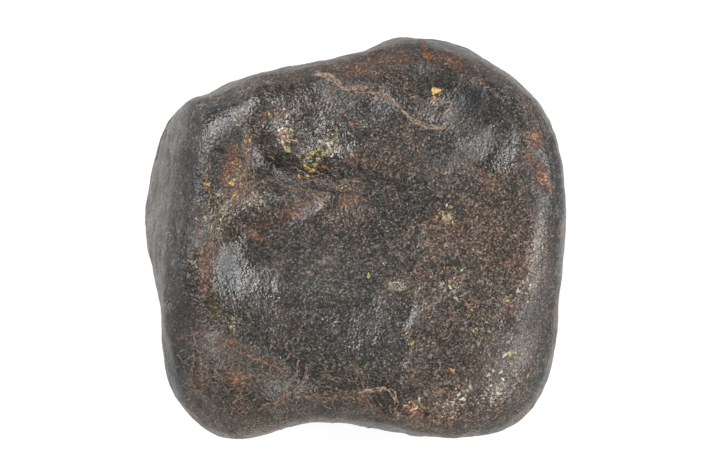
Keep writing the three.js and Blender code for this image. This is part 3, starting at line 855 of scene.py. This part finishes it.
def crust_shade(r, rust, roll):
    """How bright the ground is: random patches, painted shade with dirt in the dark hollows and edges,
    painted shade on the dull patches and the rounded shoulders, painted light on the pale patches, painted
    shade with dirt in the pits, dark cracks, and crests worn lighter with painted shade in the hollows.
    """
    bare = r.fit(rust, 0, 1, 1, 0.3)
    blotch = r.times(r.fit(r.patchy, 0.32, 0.66, -0.3, 0.3), r.mask["side"])
    shade = r.times(r.fit(r.patchy, 0.25, 0.8, 0.86, 1.15), r.fit(r.mottle, 0.3, 0.7, 0.94, 1.07))
    for factor in (
        # Painted shade, with dirt in the hollows.
        r.fit(r.times(r.mask["dark"], bare), 0, 1, 1, 0.22, smooth=False),
        # Painted shade on the dull skin.
        r.fit(r.times(r.mask["matt"], bare), 0, 1, 1, 0.47, smooth=False),
        # Painted light on the pale patches.
        r.fit(r.mask["pale"], 0, 1, 1, 1.9, smooth=False),
        # Painted shade on the rounded shoulders.
        r.fit(roll, 0, 1, 1, 0.86, smooth=False),
        r.sum(blotch, 1.0),
        # Painted shade, with dirt, in the pits.
        r.fit(r.mask["pits"], 0.1, 0.8, 1, 0.1),
        r.fit(r.mask["crack"], 0, 1, 1, 0.4, smooth=False),
        # Crests painted lighter as wear, hollows darker as painted shade.
        r.mask["worn"],
    ):
        shade = r.times(shade, factor)
    return shade


def crust_sparkle(r, look, ground, shade, wall):
    """The ground under its shade, with pepper, rusty flecks and bright flecks that are partly bare metal and
    partly painted glints.
    """
    pepper = r.fit(r.sum(r.pepper, 3.0, "POWER"), 0.0, 1.0, -0.62, 2.0, smooth=False)
    pepper = r.times(pepper, r.times(r.fit(wall, 0, 1, 1, 0.6), r.fit(r.fine, 0.3, 0.7, 0.6, 1.25)))
    pepper = r.times(pepper, r.fit(r.mask["slate"], 0, 1, 1, 0.7, smooth=False))
    shade = r.times(shade, r.sum(r.sum(pepper, 1.0), 0.06, "MAXIMUM"))
    fleck = r.times(r.fit(r.gleam, 0.78, 0.92), r.fit(wall, 0, 1, 0.55, 0.3))
    # Bright flecks mixed over the colour: partly bare metal, partly painted glints; fewer on the walls and
    # on dull skin.
    salt = r.times(r.fit(r.salt, 0.92, 1.0, 0.0, 0.8), r.fit(wall, 0, 1, 1, 0.3))
    salt = r.times(salt, r.fit(r.mask["matt"], 0, 1, 1, 0.4, smooth=False))
    salt = r.times(salt, r.fit(r.patchy, 0.35, 0.6, 0.4, 1.0))
    return r.mix(salt, r.scaled(r.mix(fleck, ground, look.fleck_colour), shade), look.salt_colour)


def crust_polish(r, wall, rust, roll):
    """How rough each speck of the crust is."""
    polish = r.fit(r.gleam, 0, 1, 0.12, 0.37, smooth=False)
    for rougher in (
        r.times(rust, 0.3),
        r.times(r.mask["matt"], 0.22),
        r.times(r.mask["crust"], 0.08),
        r.times(r.mask["slate"], -0.07),
        r.fit(r.broad, 0.4, 0.62, -0.05, 0.1),
        r.times(wall, 0.15),
    ):
        polish = r.sum(polish, rougher)
    return r.sum(polish, r.times(roll, 0.36), clamp=True)


def crust_normal(r, wall, web):
    """The finest relief: a soft swell, pebbles, a peel and the raised web."""
    calm = r.sum(r.fit(wall, 0, 1, 1, 0.4, smooth=False), r.times(r.mask["rough"], 1.4))
    low = r.bump(r.times(r.noise(r.at, SWELL, 1), calm), 0.07)
    middle = r.bump(r.times(r.cells(r.at, PEEL, "SMOOTH_F1"), calm), 0.034, low)
    return r.bump(r.sum(r.times(r.noise(r.at, PEEL, 1), calm), r.times(web, 0.8)), 0.05, middle)


def crust_finish(look):
    """Worn iron crust: the colour of its ground under its shade, which is partly painted shade and light,
    and its sparkle, which is partly painted glints; its polish and its relief.
    """
    r = CrustRecipe("weathered_iron_crust")
    wall = r.fit(r.sum(r.mask["wall"], r.fit(r.broad, 0.3, 0.7, -0.6, 0.4)), 0.2, 1.0)
    roll = r.sum(r.mask["side"], wall, "SUBTRACT", clamp=True)
    rust, web = crust_rust(r), crust_web(r)
    ground = crust_ground(r, look, wall, rust, web)
    return r.finish(Base_Color=crust_sparkle(r, look, ground, crust_shade(r, rust, roll), wall),
                    Roughness=crust_polish(r, wall, rust, roll), Normal=crust_normal(r, wall, web),
                    Metallic=look.metal_share, IOR=look.crust_ior)


def vein_finish(name, dark_colour, pale_colour):
    """Rough rust, paler on the crests of its lumps."""
    r = Recipe(name)
    mottle = r.noise(r.place(), 0.32, 3, 0.7)
    tone = r.mix(r.fit(mottle, 0.42, 0.72), dark_colour, pale_colour)
    return r.finish(Base_Color=tone, Roughness=r.fit(mottle, 0.3, 0.7, 0.5, 0.8),
                    Normal=r.bump(mottle, 0.12))


def grain_finish(look):
    """Glassy olivine: each grain has its own colour, with darker flaws in it."""
    r = Recipe("olivine")
    place = r.place()
    flaws = r.noise(place, 0.16, 3, 0.6)
    tone = r.scaled(r.attribute("grain_colour", "Color"), r.fit(flaws, 0.3, 0.7, 0.45, 1.35))
    return r.finish(Base_Color=tone, Roughness=r.fit(flaws, 0.3, 0.7, 0.12, 0.4), IOR=look.olivine_ior,
                    Normal=r.bump(flaws, 0.03))


def colour_setting(name, description, default):
    """A colour that the user can change."""
    return bpy.props.FloatVectorProperty(name=name, description=description, default=default,
                                         subtype="COLOR", size=3, min=0.0, max=1.0)


def length_setting(name, description, default, lowest=0.02):
    """A length in millimetres that the user can change."""
    return bpy.props.FloatProperty(name=name, description=description, default=default * MM,
                                   min=lowest * MM, unit="LENGTH", precision=5)


def number_setting(name, description, default, lowest=0.0, highest=100.0, unit="NONE"):
    """A number that the user can change."""
    return bpy.props.FloatProperty(name=name, description=description, default=default, min=lowest,
                                   max=highest, unit=unit)


def count_setting(name, description, default, lowest=0, highest=1000):
    """A count that the user can change."""
    return bpy.props.IntProperty(name=name, description=description, default=default, min=lowest,
                                 max=highest)


class SkinSettings(bpy.types.PropertyGroup):
    """The stone's skin."""

    levels: count_setting("Smoothing levels", "How often the faceted stone is subdivided", 2, 1, 2)
    # How far out a crest is painted brightest, as wear, and how far in a hollow is painted darkest, as
    # shade.
    wear_and_shade_reach: length_setting("Wear depth", "How far a crest stands out where it is worn brightest",
                               0.35, 0.05)
    metal_share: number_setting("Metal", "How much of the crust shines as bare metal", 0.15, highest=1.0)
    crust_ior: number_setting("Crust IOR", "Refractive index of the oxide crust", 1.66, 1.0, 3.0)
    slate_colour: colour_setting("Slate", "Ground of the smooth, grey crust", (0.039, 0.0385, 0.036))
    film_colour: colour_setting("Film", "Film of rust over the crust", (0.088, 0.053, 0.034))
    brown_colour: colour_setting("Brown", "Ground of the brown crust", (0.069, 0.047, 0.034))
    rust_colour: colour_setting("Rust", "Deep part of a rust patch", (0.082, 0.036, 0.020))
    ochre_colour: colour_setting("Ochre", "Bright part of a rust patch", (0.270, 0.100, 0.032))
    stain_colour: colour_setting("Olive stain", "Green stain round the olivine", (0.076, 0.068, 0.028))
    wall_colour: colour_setting("Side", "Ground of the side walls", (0.082, 0.079, 0.068))
    wall_streak_colour: colour_setting("Side streak", "Streaks of the side walls", (0.078, 0.055, 0.040))
    cell_colour: colour_setting("Cells", "Olive ground between the lines of the web", (0.058, 0.053, 0.033))
    dust_colour: colour_setting("Dust", "Pale crumbs round the grains", (0.210, 0.165, 0.130))
    fleck_colour: colour_setting("Flecks", "Rusty flecks in the crust", (0.115, 0.076, 0.052))
    # Bright flecks: partly bare metal, partly painted glints.
    salt_colour: colour_setting("Sparkle", "Bare flecks in the crust", (0.290, 0.265, 0.230))
    vein_colour: colour_setting("Web", "Web of rust drawn in the crust", (0.125, 0.078, 0.052))


class VeinSettings(bpy.types.PropertyGroup):
    """The veins of rust that stand proud."""

    thickness: length_setting("Thickness", "Radius of a vein where it is full", 0.19)
    fine_thickness: length_setting("Fine thickness", "Radius of a fine vein where it is full", 0.14)
    web_thickness: length_setting("Web thickness", "Radius of the strands between the cells", 0.11)
    web_spacing: length_setting("Web spacing", "How near to each other the knots of the web are", 0.6, 0.3)
    hidden_count: count_setting("Veins below", "How many veins wander over the sides and the underside", 26)
    sink: number_setting("Sink", "How far a vein's middle lies under the skin, as a share of its radius",
                         0.25, highest=0.9)
    vein_pale_colour: colour_setting("Pale", "Crest of a vein", (0.500, 0.370, 0.270))
    vein_dark_colour: colour_setting("Dark", "Foot of a vein", (0.130, 0.088, 0.064))
    web_pale_colour: colour_setting("Pale web", "Crest of a fine vein or a strand", (0.320, 0.215, 0.155))
    web_dark_colour: colour_setting("Dark web", "Foot of a fine vein or a strand", (0.075, 0.048, 0.034))


class GrainSettings(bpy.types.PropertyGroup):
    """The olivine grains."""

    sparkle_count: count_setting("Small grains", "How many small grains are strewn over the stone", 180)
    sparkle_size: length_setting("Small grain size", "Half width of a strewn grain", 0.09)
    olivine_ior: number_setting("Olivine IOR", "Refractive index of the olivine", 1.67, 1.0, 3.0)


class StudioSettings(bpy.types.PropertyGroup):
    """The floor, the lights and the camera."""

    floor_size: number_setting("Floor", "Width of the floor", 6.0, 0.5, unit="LENGTH")
    floor_colour: colour_setting("Floor colour", "Colour of the floor", (0.22, 0.22, 0.218))
    floor_glow: number_setting("Floor glow", "How much the lit table shines through", 0.84)
    surround: number_setting("Surround", "Strength of the soft light from all round", 0.26)
    left_power: number_setting("Left softbox", "Power of the softbox at the upper left", 1.2, unit="POWER")
    right_power: number_setting("Right softbox", "Power of the softbox at the right", 1.3, unit="POWER")


class METEORITE_OT_skin(bpy.types.Operator):
    """Makes the stone's worn skin from the faceted solid"""

    bl_idname = "meteorite.skin"
    bl_label = "Worn skin"

    def execute(self, context):
        look = context.scene.meteorite_skin
        make_active(frame["nodes"][STONE_NODE])
        bpy.ops.object.duplicate()
        skin = context.object
        skin.name = skin.data.name = "meteorite_skin"
        bpy.ops.object.parent_clear(type="CLEAR_KEEP_TRANSFORM")
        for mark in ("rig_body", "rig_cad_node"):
            del skin[mark]
        skin.data.materials.clear()
        if skin.data.has_custom_normals:
            bpy.ops.mesh.customdata_custom_splitnormals_clear()
        bpy.ops.object.mode_set(mode="EDIT")
        bpy.ops.mesh.select_all(action="SELECT")
        bpy.ops.mesh.remove_doubles(threshold=WELD)
        bpy.ops.mesh.faces_shade_smooth()
        bpy.ops.object.mode_set(mode="OBJECT")

        bpy.ops.object.modifier_add(type="SUBSURF")
        smooth = skin.modifiers[-1]
        smooth.levels = smooth.render_levels = look.levels
        bpy.ops.object.modifier_apply(modifier=smooth.name)

        add_masks(skin, skin_masks(skin.data))
        bpy.ops.object.empty_add(location=(0, 0, 0))
        guide = context.object
        make_active(skin)
        for name, relief in RELIEFS.items():
            press_relief(skin, name, relief, guide)
        bpy.data.objects.remove(guide)
        make_active(skin)

        # Crests are painted lighter, as wear, and hollows darker, as painted shade.
        proud = np.clip(standing_proud(skin.data, WEAR_ROUNDS) / look.wear_and_shade_reach, -1, 1)
        worn = skin.data.attributes.new("worn", "FLOAT", "POINT")
        worn.data.foreach_set("value", (1 + WEAR_AND_SHADE_CONTRAST * proud).astype(np.float32))

        skin.data.materials.append(crust_finish(look))
        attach(skin, BODY)
        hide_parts(STONE_NODE)
        return {"FINISHED"}


def skin_tree():
    """The finished skin, ready to be asked where it is."""
    skin = bpy.data.objects["meteorite_skin"]
    return skin, BVHTree.FromObject(skin, bpy.context.evaluated_depsgraph_get())


def drop_on_skin(tree, x, y):
    """Where the view from above through a place of the plan meets the skin, with the skin's normal there."""
    eye = Vector((*VIEW_CENTRE, WAIST_HEIGHT + VIEW_DISTANCE))
    aim = Vector((x * MM, y * MM, WAIST_HEIGHT))
    hit, normal, _, _ = tree.ray_cast(eye, aim - eye)
    return hit, normal


def smooth_path(points, step):
    """Points at an even step, in millimetres, along a soft curve through the points."""
    ends = [points[0], *points, points[-1]]
    path = []
    for before, start, end, after in zip(ends, ends[1:], ends[2:], ends[3:]):
        p0, p1, p2, p3 = (np.array(p, float) for p in (before, start, end, after))
        count = max(2, round(np.linalg.norm(p2 - p1) / step))
        for i in range(count):
            t = i / count
            path.append(0.5 * (2 * p1 + (p2 - p0) * t + (2 * p0 - 5 * p1 + 4 * p2 - p3) * t * t
                               + (3 * p1 - p0 - 3 * p2 + p3) * t ** 3))
    return path


def tube(name, path, radii):
    """A round, tapering thread along a path of points in metres, as a curve."""
    curve = bpy.data.curves.new(name, "CURVE")
    curve.dimensions = "3D"
    curve.bevel_depth = 1.0
    curve.bevel_resolution = 1
    curve.use_fill_caps = True
    spline = curve.splines.new("POLY")
    spline.points.add(len(path) - 1)
    for point, place, radius in zip(spline.points, path, radii):
        point.co = (*place, 1)
        point.radius = radius
    thread = bpy.data.objects.new(name, curve)
    bpy.context.scene.collection.objects.link(thread)
    return thread


def vein_on_skin(tree, rng, line, radius, sink):
    """Lays one line of the plan on the skin, lumpy, and in pieces where the rust has worn away."""
    path, radii, strands = [], [], []
    phase = rng.uniform(0, 100)
    for index, (x, y) in enumerate(smooth_path(line, VEIN_STEP)):
        along = index * VEIN_STEP
        sway = VEIN_SWAY * noise.noise_vector((along / SWAY_LENGTH, phase, 0))
        lump = noise.noise((along / LUMP_LENGTH, phase, 3))
        worn_away = noise.noise((along / GAP_LENGTH, phase, 6)) < VEIN_WORN_AWAY
        hit, normal = drop_on_skin(tree, x + sway.x, y + sway.y)
        if hit and not worn_away:
            size = radius * (USUAL_SHARE + USUAL_SHARE * lump)
            path.append(hit - normal * size * sink)
            radii.append(size)
        elif len(path) >= FEWEST_POINTS:
            strands.append(tube("strand", path, taper(radii)))
            path, radii = [], []
    if len(path) >= FEWEST_POINTS:
        strands.append(tube("strand", path, taper(radii)))
    return strands


def taper(radii):
    """Narrows a strand's two ends."""
    last = len(radii) - 1
    return [r * min(1, END_SHARE + END_SHARE * min(i, last - i)) for i, r in enumerate(radii)]


def web_lines(rng, homes, spacing):
    """Knots strewn over the homes, each joined to those near it with no other knot between."""
    knots = []
    for x, y, length, width, degrees, _ in homes:
        turn = math.radians(degrees)
        for _ in range(round(WEB_TRIES * length * width / spacing ** 2)):
            along, across = rng.gauss(0, length / 2), rng.gauss(0, width / 2)
            knot = np.array([x + along * math.cos(turn) - across * math.sin(turn),
                             y + along * math.sin(turn) + across * math.cos(turn)])
            if all(np.linalg.norm(knot - other) > spacing for other in knots):
                knots.append(knot)
    gaps = np.linalg.norm(np.array(knots)[:, None] - np.array(knots)[None], axis=2)
    lines = []
    for a in range(len(knots)):
        for b in range(a + 1, len(knots)):
            if gaps[a, b] < WEB_REACH * spacing and np.maximum(gaps[a], gaps[b]).min() >= gaps[a, b]:
                middle = (knots[a] + knots[b]) / 2 + [rng.gauss(0, WEB_BEND), rng.gauss(0, WEB_BEND)]
                lines.append([knots[a], middle, knots[b]])
    return lines


def wandering_vein(tree, rng, start, heading, length, radius, sink):
    """Lays a vein that wanders over the skin from a starting point, wherever it faces."""
    point, turn, path, radii = start, 0.0, [], []
    for _ in range(round(length / WANDER_STEP)):
        place, normal, _, _ = tree.find_nearest(point)
        turn = WANDER_HOLD * turn + rng.gauss(0, WANDER_TURN)
        heading = (heading - normal * heading.dot(normal)).normalized()
        heading = Matrix.Rotation(turn, 3, normal) @ heading
        size = radius * rng.uniform(*WANDER_SIZES)
        path.append(place - normal * size * sink)
        radii.append(size)
        point = place + heading * WANDER_STEP
    return tube("thread", path, taper(radii))


def join_strands(strands, name):
    """Turns laid strands into one mesh with a smooth surface."""
    deselect_all()
    for piece in strands:
        piece.select_set(True)
    bpy.context.view_layer.objects.active = strands[0]
    bpy.ops.object.convert(target="MESH")
    joined = join_as(list(bpy.context.selected_objects), name)
    bpy.ops.object.modifier_add(type="DISPLACE")
    crumble = joined.modifiers[-1]
    crumble.texture = bpy.data.textures.new(name, "CLOUDS")
    crumble.texture.noise_scale = CRUMB_SIZE
    crumble.strength = CRUMB_HEIGHT
    bpy.ops.object.modifier_apply(modifier=crumble.name)
    bpy.ops.object.shade_smooth()
    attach(joined, BODY)
    return joined


class METEORITE_OT_veins(bpy.types.Operator):
    """Lays the raised veins of rust, and the finer web of it, on the skin"""

    bl_idname = "meteorite.veins"
    bl_label = "Rust veins"

    def execute(self, context):
        look = context.scene.meteorite_veins
        skin, tree = skin_tree()
        rng = random.Random(VEIN_SEED)
        noise.seed_set(VEIN_SEED)
        strands, web = [], []
        for lines, kept, thickness in (
            (VEINS, strands, look.thickness),
            (FINE_VEINS, web, look.fine_thickness),
        ):
            for line in lines.values():
                kept += vein_on_skin(tree, rng, line, thickness, look.sink)
                for _ in range(BESIDE_COUNT):
                    beside = [(x + rng.gauss(0, BESIDE_SPREAD), y + rng.gauss(0, BESIDE_SPREAD))
                              for x, y in line]
                    kept += vein_on_skin(tree, rng, beside, thickness * BESIDE_SHARE, look.sink)
        for line in web_lines(rng, NETWORK_PATCHES.values(), look.web_spacing / MM):
            web += vein_on_skin(tree, rng, line, look.web_thickness, look.sink)
        below = [v for v in skin.data.vertices if WANDER_FOOT < v.co.z < WANDER_TOP]
        for _ in range(look.hidden_count):
            start = rng.choice(below).co.copy()
            heading = Vector((rng.gauss(0, 1), rng.gauss(0, 1), rng.gauss(0, 1)))
            length = rng.uniform(*WANDER_LENGTHS) * MM
            web.append(wandering_vein(tree, rng, start, heading, length, look.web_thickness, look.sink))
        if not strands or not web:
            raise RuntimeError("no vein could be laid on the skin")
        veins = join_strands(strands, "rust_veins")
        veins.data.materials.append(vein_finish("rust_vein", look.vein_dark_colour, look.vein_pale_colour))
        web = join_strands(web, "rust_web")
        web.data.materials.append(vein_finish("rust_web", look.web_dark_colour, look.web_pale_colour))
        return {"FINISHED"}


def crystal(rng):
    """One blunt grain of olivine, its facets cut off a ball at random."""
    bpy.ops.mesh.primitive_ico_sphere_add(subdivisions=2, radius=1)
    grain = bpy.context.object
    bpy.ops.object.mode_set(mode="EDIT")
    for _ in range(FACETS):
        normal = Vector((rng.gauss(0, 1), rng.gauss(0, 1), rng.gauss(0, 1))).normalized()
        bpy.ops.mesh.select_all(action="SELECT")
        bpy.ops.mesh.bisect(plane_co=normal * rng.uniform(*FACET_DEPTHS), plane_no=normal,
                            use_fill=True, clear_outer=True)
    bpy.ops.mesh.select_all(action="SELECT")
    bpy.ops.mesh.normals_make_consistent(inside=False)
    bpy.ops.object.mode_set(mode="OBJECT")
    return grain


def set_grain(shape, place, normal, size, rng, colour):
    """Copies a grain's shape into the skin, turned at random and sunk to its middle."""
    mesh = shape.data.copy()
    length, width = size * rng.uniform(*GRAIN_LENGTHS), size * rng.uniform(*GRAIN_WIDTHS)
    stretch = Matrix.Diagonal((length, width, size * GRAIN_FLATNESS, 1))
    spin = Matrix.Rotation(rng.uniform(0, math.tau), 4, "Z")
    upright = normal.to_track_quat("Z", "Y").to_matrix().to_4x4()
    mesh.transform(Matrix.Translation(place - normal * size * GRAIN_SINK) @ upright @ spin @ stretch)
    tint = mesh.attributes.new("grain_colour", "FLOAT_COLOR", "POINT")
    tint.data.foreach_set("color", [*colour, 1] * len(mesh.vertices))
    grain = bpy.data.objects.new("grain", mesh)
    bpy.context.scene.collection.objects.link(grain)
    return grain


class METEORITE_OT_grains(bpy.types.Operator):
    """Sets the olivine grains in the skin"""

    bl_idname = "meteorite.grains"
    bl_label = "Olivine grains"

    def execute(self, context):
        look = context.scene.meteorite_grains
        skin, tree = skin_tree()
        rng = random.Random(GRAIN_SEED)
        deselect_all()
        shapes = [crystal(rng) for _ in range(GRAIN_SHAPES)]
        grains = []
        for x, y, size, tint in GRAINS:
            hit, normal = drop_on_skin(tree, x, y)
            if hit is None:
                raise RuntimeError(f"the grain at {x}, {y} misses the stone")
            grains.append(set_grain(rng.choice(shapes), hit, normal, size * MM, rng, GRAIN_COLOURS[tint]))
        for x, y, reach, count, size, tints in CLUSTERS:
            for _ in range(count):
                hit, normal = drop_on_skin(tree, x + rng.gauss(0, reach / 2), y + rng.gauss(0, reach / 2))
                if hit:
                    colour = GRAIN_COLOURS[rng.choice(tints)]
                    half_width = size * CROWD_LARGEST * rng.uniform(*CROWD_SIZES) ** 2 * MM
                    grains.append(set_grain(rng.choice(shapes), hit, normal, half_width, rng, colour))
        vertices = [v for v in skin.data.vertices if v.co.z > STREWN_FOOT]
        for _ in range(look.sparkle_count):
            spot = rng.choice(vertices)
            size = look.sparkle_size * rng.uniform(*STREWN_SIZES)
            colour = GRAIN_COLOURS[rng.choice(STREWN_TINTS)]
            grains.append(set_grain(rng.choice(shapes), spot.co, spot.normal, size, rng, colour))
        for shape in shapes:
            bpy.data.objects.remove(shape)
        olivine = join_as(grains, "olivine_grains")
        olivine.data.materials.append(grain_finish(look))
        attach(olivine, BODY)
        return {"FINISHED"}


def softbox(name, azimuth, size, power):
    """A long, soft light that looks at the stone from one side."""
    turn, rise = math.radians(azimuth), math.radians(SOFTBOX_ELEVATION)
    way = Vector((math.cos(turn) * math.cos(rise), math.sin(turn) * math.cos(rise), math.sin(rise)))
    target = Vector((0, 0, WAIST_HEIGHT))
    bpy.ops.object.light_add(type="AREA", location=target + way * SOFTBOX_DISTANCE)
    light = bpy.context.object
    light.name = name
    light.rotation_euler = way.to_track_quat("Z", "Y").to_euler()
    light.data.shape = "RECTANGLE"
    light.data.size, light.data.size_y = size
    light.data.energy = power
    light.data.color = SOFTBOX_COLOUR


class METEORITE_OT_studio(bpy.types.Operator):
    """Sets up the pale floor, the soft lights and the camera that looks straight down"""

    bl_idname = "meteorite.studio"
    bl_label = "Studio"

    def execute(self, context):
        look = context.scene.meteorite_studio
        deselect_all()
        bpy.ops.mesh.primitive_plane_add(size=look.floor_size, location=(0, 0, 0))
        floor = context.object
        floor.name = "studio_floor"
        paper = Recipe("pale_floor")
        glow = (look.floor_glow,) * 3
        floor.data.materials.append(paper.finish(Base_Color=look.floor_colour, Roughness=FLOOR_ROUGHNESS,
                                                 Emission_Color=glow, Emission_Strength=1.0))

        world = bpy.data.worlds.new("studio_surround")
        world.use_nodes = True
        world.node_tree.nodes["Background"].inputs["Color"].default_value = SURROUND_COLOUR
        world.node_tree.nodes["Background"].inputs["Strength"].default_value = look.surround
        context.scene.world = world

        softbox("left_softbox", LEFT_AZIMUTH, LEFT_SIZE, look.left_power)
        softbox("right_softbox", RIGHT_AZIMUTH, RIGHT_SIZE, look.right_power)

        width = PHOTO_WIDTH * PIXEL
        bpy.ops.object.camera_add(location=(*VIEW_CENTRE, WAIST_HEIGHT + VIEW_DISTANCE), rotation=(0, 0, 0))
        camera = context.object
        camera.name = "camera"
        camera.data.sensor_width = SENSOR_WIDTH
        camera.data.lens = SENSOR_WIDTH * VIEW_DISTANCE / width
        camera.data.clip_start = NEAREST_VIEW
        context.scene.camera = camera
        context.scene.view_settings.view_transform = "Standard"
        return {"FINISHED"}


class METEORITE_PT_panel(bpy.types.Panel):
    """Lists the pieces of the meteorite"""

    bl_idname = "METEORITE_PT_panel"
    bl_label = "Meteorite"
    bl_space_type = "VIEW_3D"
    bl_region_type = "UI"
    bl_category = "Meteorite"

    def draw(self, context):
        for operator, settings in (
            (METEORITE_OT_skin, context.scene.meteorite_skin),
            (METEORITE_OT_veins, context.scene.meteorite_veins),
            (METEORITE_OT_grains, context.scene.meteorite_grains),
            (METEORITE_OT_studio, context.scene.meteorite_studio),
        ):
            box = self.layout.box()
            box.operator(operator.bl_idname)
            for name in settings.__annotations__:
                box.prop(settings, name)


CLASSES = (SkinSettings, VeinSettings, GrainSettings, StudioSettings, METEORITE_OT_skin, METEORITE_OT_veins,
           METEORITE_OT_grains, METEORITE_OT_studio, METEORITE_PT_panel)
SETTINGS = {"meteorite_skin": SkinSettings, "meteorite_veins": VeinSettings,
            "meteorite_grains": GrainSettings, "meteorite_studio": StudioSettings}


def register():
    for kind in CLASSES:
        bpy.utils.register_class(kind)
    for name, kind in SETTINGS.items():
        setattr(bpy.types.Scene, name, bpy.props.PointerProperty(type=kind))


def unregister():
    for name in SETTINGS:
        delattr(bpy.types.Scene, name)
    for kind in reversed(CLASSES):
        bpy.utils.unregister_class(kind)


def main():
    register()
    bpy.ops.meteorite.studio()
    bpy.ops.meteorite.skin()
    bpy.ops.meteorite.veins()
    bpy.ops.meteorite.grains()


if __name__ == "__main__":
    main()
